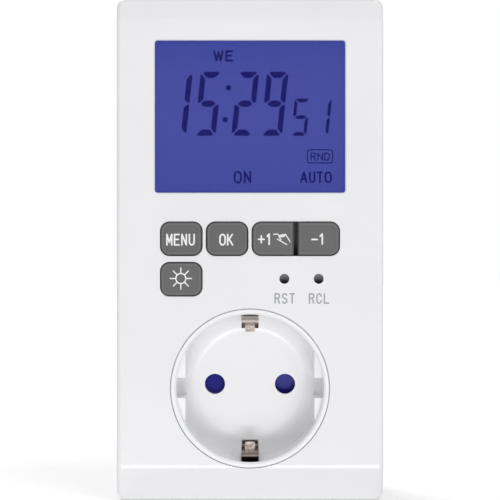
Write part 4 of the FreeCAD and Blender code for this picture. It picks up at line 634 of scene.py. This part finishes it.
# Streaks of wear: their width and stretch, and the noise values at which they are dark and light
STREAK_MM = 0.5
STREAK_STRETCH = (1.0, 0.25, 0.6)
STREAK_DARK = 0.36
STREAK_LIGHT = 0.62
WEAR_MM = 0.2
WEAR_BELOW = 0.1
WEAR_ABOVE = 0.14
# Painted shade darkens the lower strip's bend, and a painted highlight brightens the upper strip's end, in Z.
LOWER_BEND_SHADE = (-21.0, -18.1)
UPPER_END_HIGHLIGHT = (18.35, 21.0)


def worn_and_shaded_plating(name, bend, dark, light, rough):
    """Plated contact metal, rubbed in streaks along the way that a plug slides, with a darker bend at its
    front: unrubbed plating, deepened by painted shade.
    """
    m = Shader(name, light, rough, metallic=1.0)
    streaks = m.noise(1 / (STREAK_MM * MM), detail=4.0, rough=0.65, vector=m.stretched(STREAK_STRETCH))
    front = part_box("earth_strip_upper")[0].y
    # The bend's colour, unrubbed plating deepened by painted shade, gives way to the streaked plating behind
    # it.
    rubbed_and_unshaded = m.share("Y", front + BEND_FROM * MM, front + BEND_TO * MM)
    plating = m.ramp(streaks, [(STREAK_DARK, dark), (STREAK_LIGHT, light)])
    m.feed("Base Color", m.mix(rubbed_and_unshaded, bend, plating))
    m.rough_range(rough - WEAR_BELOW, rough + WEAR_ABOVE, 1 / (WEAR_MM * MM))
    m.bump(streaks, strength=0.5, depth_mm=0.02)
    return m


earth_upper = worn_and_shaded_plating(
    "plated_earth_upper",
    bend=(0.32, 0.28, 0.255),
    dark=(0.36, 0.31, 0.28),
    light=(0.97, 0.87, 0.8),
    rough=0.4,
)
earth_upper.set("Metallic", 0.6)
# Painted highlight on the upper strip's end.
earth_upper.over(earth_upper.within("Z", *UPPER_END_HIGHLIGHT), (0.92, 0.83, 0.78))
# The lower strip's bend colour is darker than the upper one's: painted shade.
earth_lower = worn_and_shaded_plating(
    "plated_earth_lower",
    bend=(0.13, 0.11, 0.1),
    dark=(0.3, 0.255, 0.22),
    light=(0.97, 0.88, 0.8),
    rough=0.42,
)
# Painted shade on the lower strip's bend.
earth_lower.over(earth_lower.within("Z", *LOWER_BEND_SHADE), (0.02, 0.016, 0.014))

# Display, its marks and the window over it
GLOW_STOPS = [
    (0.0, (0.044, 0.052, 0.268)),
    (0.45, (0.052, 0.061, 0.285)),
    (0.75, (0.05, 0.059, 0.282)),
    (1.0, (0.043, 0.052, 0.272)),
]
display = Shader("blue_display", (0.008, 0.009, 0.04), rough=0.6, ior=1.1)
display.feed("Emission Color", display.rising("lcd_panel", GLOW_STOPS))
display.set("Emission Strength", 1.0)

INK = (0.003, 0.003, 0.02)
ink = Shader("display_mark", INK, rough=0.6, ior=1.05)
ink.mottle(INK, spread=0.1, scale=300.0)
ink.set("Emission Color", (0.006, 0.006, 0.105, 1.0))
ink.set("Emission Strength", 1.0)

window = Shader("clear_window", (1.0, 1.0, 1.0), rough=0.03, ior=1.1)
window.set("Transmission Weight", 1.0)
window.bump(window.noise(40.0, detail=1.0), strength=0.05, depth_mm=0.002)
window.mottle((0.97, 0.975, 1.0), spread=0.01, scale=30.0)
# The window casts no shadow on the display.
clear = window.node("ShaderNodeBsdfTransparent").outputs["BSDF"]
shadow_ray = window.node("ShaderNodeLightPath").outputs["Is Shadow Ray"]
glass = mixed(window.tree, shadow_ray, window.bsdf.outputs["BSDF"], clear)
window.link(glass, window.out.inputs["Surface"])

guide = moulded("clear_guide", (0.75, 0.79, 0.9), 0.35, grain_mm=0.6, depth_mm=0.01)
guide.set("Transmission Weight", 0.5)
lamp = moulded("lamp", (0.8, 0.84, 1.0), 0.3)
lamp.set("Emission Color", (0.5, 0.6, 1.0, 1.0))
lamp.set("Emission Strength", 0.6)

# Screws: the way that the tip points along Y, the head's height and the shank's radius
SCREWS = {
    "housing_screws": (-1, 1.9, 1.4),
    "control_board_screws": (-1, 1.3, 1.0),
    "power_board_screws": (1, 1.3, 1.0),
    "carrier_screws": (-1, 1.3, 1.0),
    "retainer_screws": (1, 1.3, 1.0),
}

# Each material and the nodes that have it
looks = (
    (shell, ["front_housing", "rear_housing"]),
    (insert, ["socket_insert"]),
    (window, ["display_window"]),
    (display, ["lcd_panel"]),
    (black, ["lcd_frame", "display_driver", "relay_base"]),
    (diode_black, ["rectifier_diodes"]),
    (guide, ["light_guide"]),
    (lamp, ["backlight_leds"]),
    (rubber, ["zebra_strip", "key_mat"]),
    (key_plastic, KEY_NAMES),
    (shaded_reset_plastic, RESET_NAMES),
    (green_board, ["control_board"]),
    (brown_board, ["power_board"]),
    (green_sleeve, ["backup_cell"]),
    (ribbon, ["ribbon_cable"]),
    (yellow, ["x2_capacitor"]),
    (dark_sleeve, ["smoothing_capacitor"]),
    (resistor_film, ["resistors"]),
    (coating, ["varistor"]),
    (relay_cover, ["relay_case"]),
    (bobbin, ["relay_coil"]),
    (steel, ["clock_crystal", "relay_yoke", "relay_armature", "shutter_spring"]),
    (steel, list(SCREWS)),
    (brass, ["relay_moving_contact", "relay_fixed_contact", "line_contact", "neutral_contact"]),
    (brass, ["neutral_strap", "line_feed_bar", "line_load_bar", "neutral_bar"]),
    (shutter_blue, ["shutter"]),
    (carrier, ["contact_carrier", "pin_retainer"]),
    (earth_upper, ["earth_strip_upper", "earth_bridge"]),
    (earth_lower, ["earth_strip_lower"]),
    (pin_metal, ["line_pin", "neutral_pin"]),
)
for shader, names in looks:
    for name in names:
        for slot in nodes[name].material_slots:
            slot.material = shader.mat

# Display marks, with their places in an enlarged view of the display: its corner, and the size of its pixels
VIEW_LEFT = -26.50
VIEW_TOP = 93.01
VIEW_MM = 0.033646
# Marks stand this far out of the glass and reach this far into it, in millimetres.
MARK_OUT = 0.04
MARK_IN = 0.02
glass_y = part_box("lcd_panel")[0].y / MM


def on_display(u, v):
    """Place on the display glass of a point of the enlarged view."""
    return VIEW_LEFT + VIEW_MM * u, VIEW_TOP - VIEW_MM * v


def display_box(u0, u1, v0, v1):
    """Box on the display from a box of the enlarged view."""
    x0, z1 = on_display(u0, v0)
    x1, z0 = on_display(u1, v1)
    return x0, x1, z0, z1


DIGIT_SLANT = 0.105
DIGIT_BASE = 790
# Share of an upright's width that the ends of its segments are cut by
DIGIT_CUT = 0.45
DIGIT_SEGMENTS = {"1": "bc", "5": "afgcd", "2": "abged", "9": "abfgcd"}
TIME_DIGIT = {"wide": 168, "high": 502, "upright": 42, "level": 49, "gap": 7}
SECONDS_DIGIT = {"wide": 120, "high": 292, "upright": 25, "level": 29, "gap": 5}
TIME = (("1", 119), ("5", 350), ("2", 640), ("9", 870))
SECONDS = (("5", 1109), ("1", 1280))
COLON = ((618, 413), (593, 664))
COLON_R = 0.74


def digit(symbol, left, wide, high, upright, level, gap):
    """Outlines of a slanted digit made of mitred segments, standing on the digits' base line."""
    mid = high / 2
    cut = upright * DIGIT_CUT
    reach = upright + gap
    forms = {
        "a": [
            (cut, high - cut * 0.6),
            (cut * 1.6, high),
            (wide - cut * 1.6, high),
            (wide - cut, high - cut * 0.6),
            (wide - reach * 1.12, high - level),
            (reach * 1.12, high - level),
        ],
        "g": [
            (cut + gap, mid),
            (reach * 1.1, mid + level / 2),
            (wide - reach * 1.1, mid + level / 2),
            (wide - cut - gap, mid),
            (wide - reach * 1.1, mid - level / 2),
            (reach * 1.1, mid - level / 2),
        ],
        "f": [
            (0, high - cut - gap),
            (cut * 0.7, high - cut - gap * 0.4),
            (upright, high - level - gap * 1.4),
            (upright, mid + level / 2 + gap * 0.9),
            (cut * 0.7, mid + gap * 0.9),
            (0, mid + gap * 1.6),
        ],
    }
    forms["b"] = [(wide - x, z) for x, z in forms["f"]]
    forms["d"] = [(x, high - z) for x, z in forms["a"]]
    forms["e"] = [(x, high - z) for x, z in forms["f"]]
    forms["c"] = [(x, high - z) for x, z in forms["b"]]
    return [
        [on_display(left + x + z * DIGIT_SLANT, DIGIT_BASE - z) for x, z in forms[segment]]
        for segment in DIGIT_SEGMENTS[symbol]
    ]


marks = []
for symbol, left in TIME:
    marks += digit(symbol, left, **TIME_DIGIT)
for symbol, left in SECONDS:
    marks += digit(symbol, left, **SECONDS_DIGIT)
for dot in COLON:
    marks.append(arc(*on_display(*dot), COLON_R, COLON_R, 0, 360, 24)[:-1])
slabs("display_digits", marks, glass_y - MARK_OUT, glass_y + MARK_IN, ink, "housing")

# Words with their boxes in the enlarged view, the widths of their letters by share, and the gap between them
WORD_STROKE = 0.5
WORDS = (
    ("WE", (500, 655, 120, 208), (1.35, 1.0), 0.45),
    ("ON", (660, 797, 1065, 1165), (1.1, 1.0), 0.45),
    ("AUTO", (1180, 1430, 1070, 1160), (1.15, 1.0, 0.95, 1.15), 0.35),
)
BADGE_STROKE = 0.28
BADGE_CORNER = 0.75
BADGE_BOX = (1237, 1435, 900, 1003)
BADGE_WORD_BOX = (1262, 1412, 922, 985)
BADGE_GAP = 0.35

words = []
for word, box, shares, gap in WORDS:
    words += lettered(word, spread_boxes(*display_box(*box), shares, gap), WORD_STROKE)
strokes("display_words", words, WORD_STROKE, glass_y, ink, "housing")
badge_letters = spread_boxes(*display_box(*BADGE_WORD_BOX), (1.0, 1.0, 1.0), BADGE_GAP)
badge = lettered("RND", badge_letters, BADGE_STROKE)
badge_ring = rounded_box(*display_box(*BADGE_BOX), BADGE_CORNER)
badge.append(badge_ring + [badge_ring[0]])
strokes("display_badge", badge, BADGE_STROKE, glass_y, ink, "housing")

# Key legends, with their places in the photograph: its pixels for a millimetre, and the well's middle
FACE_SCALE = 3.818
WELL_MIDDLE = (250.45, 388.7)
LEGEND = 0.42
DISH_DEPTH = 0.15
LEGEND_ROW = (233.8, 245.8)
MENU_SPANS = ((166.6, 173.0), (174.2, 180.3), (181.6, 187.6), (189.1, 195.4))
OK_SPANS = ((219.6, 226.4), (227.3, 233.8))
LEGENDS = (
    ("menu_legend", "key_menu", "MENU", [(*span, *LEGEND_ROW) for span in MENU_SPANS]),
    ("ok_legend", "key_ok", "OK", [(*span, *LEGEND_ROW) for span in OK_SPANS]),
    ("plus_legend", "key_plus", "+1", [(258.2, 265.3, 235.2, 243.6), (266.8, 271.2, 233.4, 245.2)]),
    ("minus_legend", "key_minus", "-1", [(311.6, 318.4, 235.6, 243.6), (319.8, 324.4, 233.2, 245.0)]),
)


def on_front(px, py):
    """Place on the front of the casing of a point in the photograph."""
    return (px - WELL_MIDDLE[0]) / FACE_SCALE, (WELL_MIDDLE[1] - py) / FACE_SCALE


def front_box(px0, px1, py0, py1):
    """Box on the front of the casing from a box in the photograph."""
    x0, z1 = on_front(px0, py0)
    x1, z0 = on_front(px1, py1)
    return x0, x1, z0, z1


dish_y = key_front + DISH_DEPTH
for name, key, letters, boxes in LEGENDS:
    lines = lettered(letters, [front_box(*box) for box in boxes], LEGEND)
    strokes(name, lines, LEGEND, dish_y, white_print, key)

# The hand on its key, with its places in an enlarged crop of the photograph
CROP_CORNER = (252, 226)
CROP_SCALE = 32.67
HAND_STROKE = 0.27
HAND = (
    ((722, 284), (770, 268), (848, 266), (878, 296), (902, 345), (925, 400), (962, 452)),
    ((902, 322), (960, 300), (1040, 284), (1112, 275), (1272, 540)),
    ((925, 316), (950, 352), (978, 356), (990, 318)),
    ((990, 318), (1008, 356), (1036, 354), (1046, 312)),
    ((1046, 312), (1066, 338), (1086, 326), (1096, 286)),
    ((842, 430), (1152, 612)),
)
hand = []
for line in HAND:
    hand.append([on_front(CROP_CORNER[0] + x / CROP_SCALE, CROP_CORNER[1] + y / CROP_SCALE) for x, y in line])
strokes("hand_symbol", hand, HAND_STROKE, dish_y, white_print, "key_plus")

SUN_MIDDLE = (181.3, 278.6)
SUN_RING_R = 1.31
SUN_RAYS = 8
SUN_RAY_SPAN = (1.45, 2.78)
SUN_STROKE = 0.31
sun_x, sun_z = on_front(*SUN_MIDDLE)
sun = [arc(sun_x, sun_z, SUN_RING_R, SUN_RING_R, 0, 360, 32)]
sun[0][-1] = sun[0][0]
for i in range(SUN_RAYS):
    a = 2 * math.pi * i / SUN_RAYS
    sun.append([(sun_x + r * math.cos(a), sun_z + r * math.sin(a)) for r in SUN_RAY_SPAN])
strokes("light_symbol", sun, SUN_STROKE, dish_y, white_print, "key_light")

# Labels under the two reset holes, in millimetres
LABEL = 0.36
LABEL_THICK = 0.04
LABEL_ROW = (22.2, 25.0)
LABEL_GAP = 0.45
LABELS = (("RST", 6.4, 11.8), ("RCL", 15.4, 20.8))
face_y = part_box("front_housing")[0].y / MM
labels = []
for word, x0, x1 in LABELS:
    labels += lettered(word, spread_boxes(x0, x1, *LABEL_ROW, (1.0, 1.0, 1.0), LABEL_GAP), LABEL)
strokes("reset_labels", labels, LABEL, face_y, grey_print, "housing", LABEL_THICK)

# Screws with their recess and thread
SCREW_SIDES = 32
# The head from its seat outwards, by share of its radius and height
PAN_HEAD = ((1.0, 0.0), (1.0, 0.45), (0.93, 0.75), (0.72, 1.0))
# The cross recess by share of the head's radius and height, and the share of its size at its floor
RECESS_REACH = 0.58
RECESS_HALF = 0.13
RECESS_DEPTH = 0.55
RECESS_FLOOR = 0.7
# The thread by share of the shank's radius, how many rings make one turn of it, and how steep its ridge is
THREAD_PITCH = 0.62
THREAD_CORE = 0.78
THREAD_RINGS = 6
RIDGE_SLOPE = 5
# The tip's length and its end's radius, both by share of the shank's radius
TIP_LENGTH = 1.6
TIP_SHARE = 0.25
# Corners of one solid that are nearer than this are one, in metres.
SAME_CORNER = 1e-6


def screw_mesh(bm, centre, seat_y, towards, head_r, head_t, shank_r, length):
    """Pan head screw along Y with a cross recess and a thread, in millimetres."""
    profile = [(shank_r, 0.0)] + [(head_r * across, -head_t * up) for across, up in PAN_HEAD]
    rings = [circle(bm, centre, seat_y + towards * along, [r] * SCREW_SIDES) for r, along in profile]
    skin(bm, rings, flipped=towards > 0)
    reach = head_r * RECESS_REACH
    half = head_r * RECESS_HALF
    corner = [(half, reach), (half, half), (reach, half)]
    cross = []
    for _ in range(4):
        cross += corner
        corner = [(z, -x) for x, z in corner]
    y_top = seat_y - towards * head_t
    y_floor = y_top + towards * head_t * RECESS_DEPTH
    lip = points_across(bm, centre, y_top, cross)
    floor = points_across(bm, centre, y_floor, [(x * RECESS_FLOOR, z * RECESS_FLOOR) for x, z in cross])
    top = rings[-1]
    outer = [bm.edges.get((top[i], top[(i + 1) % SCREW_SIDES])) for i in range(SCREW_SIDES)]
    inner = [bm.edges.new((lip[i], lip[(i + 1) % len(lip)])) for i in range(len(lip))]
    bmesh.ops.bridge_loops(bm, edges=outer + inner)
    skin(bm, [lip, floor])
    bm.faces.new(floor)

    pitch = shank_r * THREAD_PITCH
    count = int(length / pitch * THREAD_RINGS)
    core = shank_r * THREAD_CORE
    rings = []
    for k in range(count + 1):
        along = length * k / count
        taper = min(1.0, (length - along) / (shank_r * TIP_LENGTH) + TIP_SHARE)
        radii = []
        for i in range(SCREW_SIDES):
            phase = (along / pitch + i / SCREW_SIDES) % 1.0
            ridge = max(0.0, 1 - abs(phase - 0.5) * RIDGE_SLOPE)
            radii.append((core + (shank_r - core) * ridge) * taper)
        rings.append(circle(bm, centre, seat_y + towards * along, radii))
    closed_skin(bm, rings)


def islands(node):
    """Boxes of the separate solids of a node, in millimetres."""
    bm = bmesh.new()
    bm.from_mesh(nodes[node].data)
    bmesh.ops.remove_doubles(bm, verts=bm.verts, dist=SAME_CORNER)
    left = set(bm.verts)
    boxes = []
    while left:
        group = set()
        heap = [left.pop()]
        while heap:
            vert = heap.pop()
            group.add(vert)
            for edge in vert.link_edges:
                other = edge.other_vert(vert)
                if other in left:
                    left.discard(other)
                    heap.append(other)
        low = [min(v.co[i] for v in group) / MM for i in range(3)]
        high = [max(v.co[i] for v in group) / MM for i in range(3)]
        boxes.append((low, high))
    bm.free()
    return sorted(boxes)


for node, (towards, head_t, shank_r) in SCREWS.items():
    bm = bmesh.new()
    for low, high in islands(node):
        seat_y = high[1] - head_t if towards < 0 else low[1] + head_t
        head_r = (high[0] - low[0]) / 2
        length = high[1] - low[1] - head_t
        screw_mesh(bm, middle_of(low, high), seat_y, towards, head_r, head_t, shank_r, length)
    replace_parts(finished(f"{node}_threaded", bm, steel, "housing"), node)

# Solder joints, each a cone that rises from the board to its wire: places along it and radii
SOLDERED = ("relay_base", "x2_capacitor", "smoothing_capacitor", "varistor", "rectifier_diodes", "resistors")
SOLDER_CONE = ((0.0, 1.0), (0.12, 0.86), (0.3, 0.62), (0.55, 0.47), (0.85, 0.4), (0.92, 0.3))
SOLDER_SIDES = 20
# Corners nearer to each other than this belong to one wire, and its end lies within this of the tips.
WIRE_NEAR = 1.2
TIP_NEAR = 0.01


def wire_ends(node):
    """Middles of the square wires of a node behind the power board, in X and Z."""
    ends = []
    for vert in nodes[node].data.vertices:
        x, y, z = (c / MM for c in vert.co)
        if y > wire_tip - TIP_NEAR:
            near = next((found for found in ends if math.dist(found[0], (x, z)) < WIRE_NEAR), None)
            if near:
                near.append((x, z))
            else:
                ends.append([(x, z)])
    return [(sum(p[0] for p in found) / len(found), sum(p[1] for p in found) / len(found)) for found in ends]


bm = bmesh.new()
for node in SOLDERED:
    for place in wire_ends(node):
        turned(bm, place, [(board_back + along, radius) for along, radius in SOLDER_CONE], SOLDER_SIDES)
finished("solder_joints", bm, solder, "housing", smooth=True)

# Legs of the display driver, each bent down from the chip's side to a foot on the board
LEG_PITCH = 0.8
LEGS_PER_SIDE = 15
LEG_HALF = 0.17
LEG_T = 0.13
LEG_KNEE = 0.42
LEG_REACH = 1.0
LEG_HEIGHT = 0.8
driver_low, driver_high = box_mm("display_driver")
driver_x, driver_z = middle_of(driver_low, driver_high)
half_chip = (driver_high.x - driver_low.x) / 2
foot_y = driver_low.y
shoulder_y = foot_y + LEG_HEIGHT
leg_parts = (
    (0.0, LEG_KNEE, shoulder_y, shoulder_y + LEG_T),
    (LEG_KNEE - LEG_T, LEG_KNEE, foot_y, shoulder_y),
    (LEG_KNEE - LEG_T, LEG_REACH, foot_y, foot_y + LEG_T),
)
bm = bmesh.new()
for side in range(4):
    turn = Matrix.Rotation(math.radians(90 * side), 2)
    for i in range(LEGS_PER_SIDE):
        at = (i - (LEGS_PER_SIDE - 1) / 2) * LEG_PITCH
        for reach0, reach1, y0, y1 in leg_parts:
            places = ((reach0, -LEG_HALF), (reach1, -LEG_HALF), (reach1, LEG_HALF), (reach0, LEG_HALF))
            corners = [turn @ Vector((half_chip + r, at + w)) for r, w in places]
            slab(bm, [(driver_x + c.x, driver_z + c.y) for c in corners], y0, y1)
finished("display_driver_legs", bm, solder, "housing")

# The winding lies between the flanges of the relay's bobbin.
FLANGE_T = 0.8
WINDING_R = 4.4
WIRE_R = 0.14
STEPS_PER_TURN = 36
WIRE_SIDES = 6
coil_low, coil_high = box_mm("relay_coil")
coil_middle = middle_of(coil_low, coil_high)
wound_from = coil_low.y + FLANGE_T + WIRE_R
wound_to = coil_high.y - FLANGE_T - WIRE_R
step_count = int((wound_to - wound_from) / (2 * WIRE_R)) * STEPS_PER_TURN
bm = bmesh.new()
rings = []
for k in range(step_count + 1):
    a = 2 * math.pi * k / STEPS_PER_TURN
    y = wound_from + (wound_to - wound_from) * k / step_count
    section = []
    for i in range(WIRE_SIDES):
        b = 2 * math.pi * i / WIRE_SIDES
        r = WINDING_R + WIRE_R * math.cos(b)
        place = (r * math.cos(a), r * math.sin(a))
        section += points_across(bm, coil_middle, y + WIRE_R * math.sin(b), [place])
    rings.append(section)
closed_skin(bm, rings)
finished("relay_winding_turns", bm, winding, "housing", smooth=True)

# The rubber mat in pieces: a flat sheet and a dome under each key.
MAT_CORNER_R = 1.5
DOME_HEIGHT = 1.8
DOME_SIDES = 32
# A dome from the sheet outwards, and its radius by share
DOME_SHAPE = ((-0.05, 1.0), (0.15, 0.97), (1.5, 0.7), (1.7, 0.66), (1.8, 0.58))
# The radius of a dome, and the share of its height that it keeps when its key is down
KEY_DOME = (3.2, 0.54)
RESET_DOME = (1.9, 0.765)
mat_low, mat_high = box_mm("key_mat")
sheet_y = mat_low.y + DOME_HEIGHT
outline = rounded_box(mat_low.x, mat_high.x, mat_low.z, mat_high.z, MAT_CORNER_R)
sheet = slabs("key_mat_sheet", [outline], sheet_y, mat_high.y, rubber, "housing")
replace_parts(sheet, "key_mat")
for key in KEY_NAMES + RESET_NAMES:
    radius, kept = KEY_DOME if key in KEY_NAMES else RESET_DOME
    centre = middle_of(*box_mm(key))
    bm = bmesh.new()
    turned(bm, centre, [(sheet_y - along, radius * share) for along, share in DOME_SHAPE], DOME_SIDES)
    dome = finished(f"{key}_dome", bm, rubber, "housing", smooth=True)
    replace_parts(dome, "key_mat")
    at = (centre[0] * MM, sheet_y * MM, centre[1] * MM)
    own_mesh(dome)

# Floor, in metres, a hair below the object, so that the two surfaces do not lie in one plane
FLOOR_DROP = 0.1 * MM
FLOOR_HALF = 3.0
# The floor's own brightness makes up for the lamps' light, which fades away from the object:
# distances from the origin in metres, and the strength at each.
GLOW_NEAR, STRENGTH_NEAR = 0.5, 0.33
GLOW_FAR, STRENGTH_FAR = 1.8, 0.68
floor_z = cad_box[0][2] - FLOOR_DROP
corners = [(x * FLOOR_HALF, y * FLOOR_HALF, floor_z) for x, y in ((-1, -1), (1, -1), (1, 1), (-1, 1))]
floor_mesh = bpy.data.meshes.new("floor")
floor_mesh.from_pydata(corners, [], [(0, 1, 2, 3)])
floor = bpy.data.objects.new("floor", floor_mesh)
bpy.context.scene.collection.objects.link(floor)
floor_look = Shader("floor", (0.8, 0.8, 0.8), rough=0.9)
away = floor_look.node("ShaderNodeVectorMath", operation="LENGTH")
floor_look.link(floor_look.coords, away.inputs[0])
fade = floor_look.node("ShaderNodeMapRange")
fade.inputs["From Min"].default_value = GLOW_NEAR
fade.inputs["From Max"].default_value = GLOW_FAR
fade.inputs["To Min"].default_value = STRENGTH_NEAR
fade.inputs["To Max"].default_value = STRENGTH_FAR
floor_look.link(away.outputs["Value"], fade.inputs["Value"])
shine = floor_look.node("ShaderNodeEmission")
floor_look.link(fade.outputs["Result"], shine.inputs["Strength"])
dark = floor_look.node("ShaderNodeEmission")
dark.inputs["Strength"].default_value = 0.0
glow = mixed(floor_look.tree, looked_at(floor_look.tree), dark.outputs["Emission"], shine.outputs["Emission"])
sum_up = floor_look.node("ShaderNodeAddShader")
floor_look.link(floor_look.bsdf.outputs["BSDF"], sum_up.inputs[0])
floor_look.link(glow, sum_up.inputs[1])
floor_look.link(sum_up.outputs["Shader"], floor_look.out.inputs["Surface"])
floor_mesh.materials.append(floor_look.mat)
floor.visible_shadow = False

# World: soft light on the object, and a white backdrop where it is looked at
WORLD_LIGHT = 0.465
world = bpy.data.worlds.new("studio")
bpy.context.scene.world = world
world.use_nodes = True
tree = world.node_tree
soft_light = tree.nodes["Background"]
backdrop = tree.nodes.new("ShaderNodeBackground")
for background, strength in ((soft_light, WORLD_LIGHT), (backdrop, 1.0)):
    background.inputs["Color"].default_value = (1.0, 1.0, 1.0, 1.0)
    background.inputs["Strength"].default_value = strength
surface = mixed(tree, looked_at(tree), soft_light.outputs["Background"], backdrop.outputs["Background"])
tree.links.new(surface, tree.nodes["World Output"].inputs["Surface"])

# Lamps: place and size in metres, and watts, all turned towards the middle of the casing
LAMP_TARGET = Vector((0.0, -0.03, 0.036))
LAMPS = (
    ("front_low", (0.063, -1.862, -0.535), (0.9, 0.2), 10.2),
    ("front_lowest", (0.058, -1.727, -0.856), (0.9, 0.25), 2.4),
    ("front_right", (0.65, -1.835, 0.036), (0.3, 0.8), 2.3),
    ("front_left", (-0.555, -1.867, 0.036), (0.3, 0.8), 0.5),
    ("above", (0.45, -0.75, 1.6), (0.45, 0.45), 5.2),
    ("behind", (-0.3, 0.85, 0.85), (0.45, 0.45), 5.0),
)
for name, place, size, watts in LAMPS:
    light = bpy.data.lights.new(name, "AREA")
    light.shape = "RECTANGLE"
    light.size, light.size_y = size
    light.energy = watts
    holder = bpy.data.objects.new(name, light)
    holder.location = place
    holder.rotation_euler = (LAMP_TARGET - Vector(place)).to_track_quat("-Z", "Y").to_euler()
    bpy.context.scene.collection.objects.link(holder)

bpy.context.scene.view_settings.view_transform = "Standard"
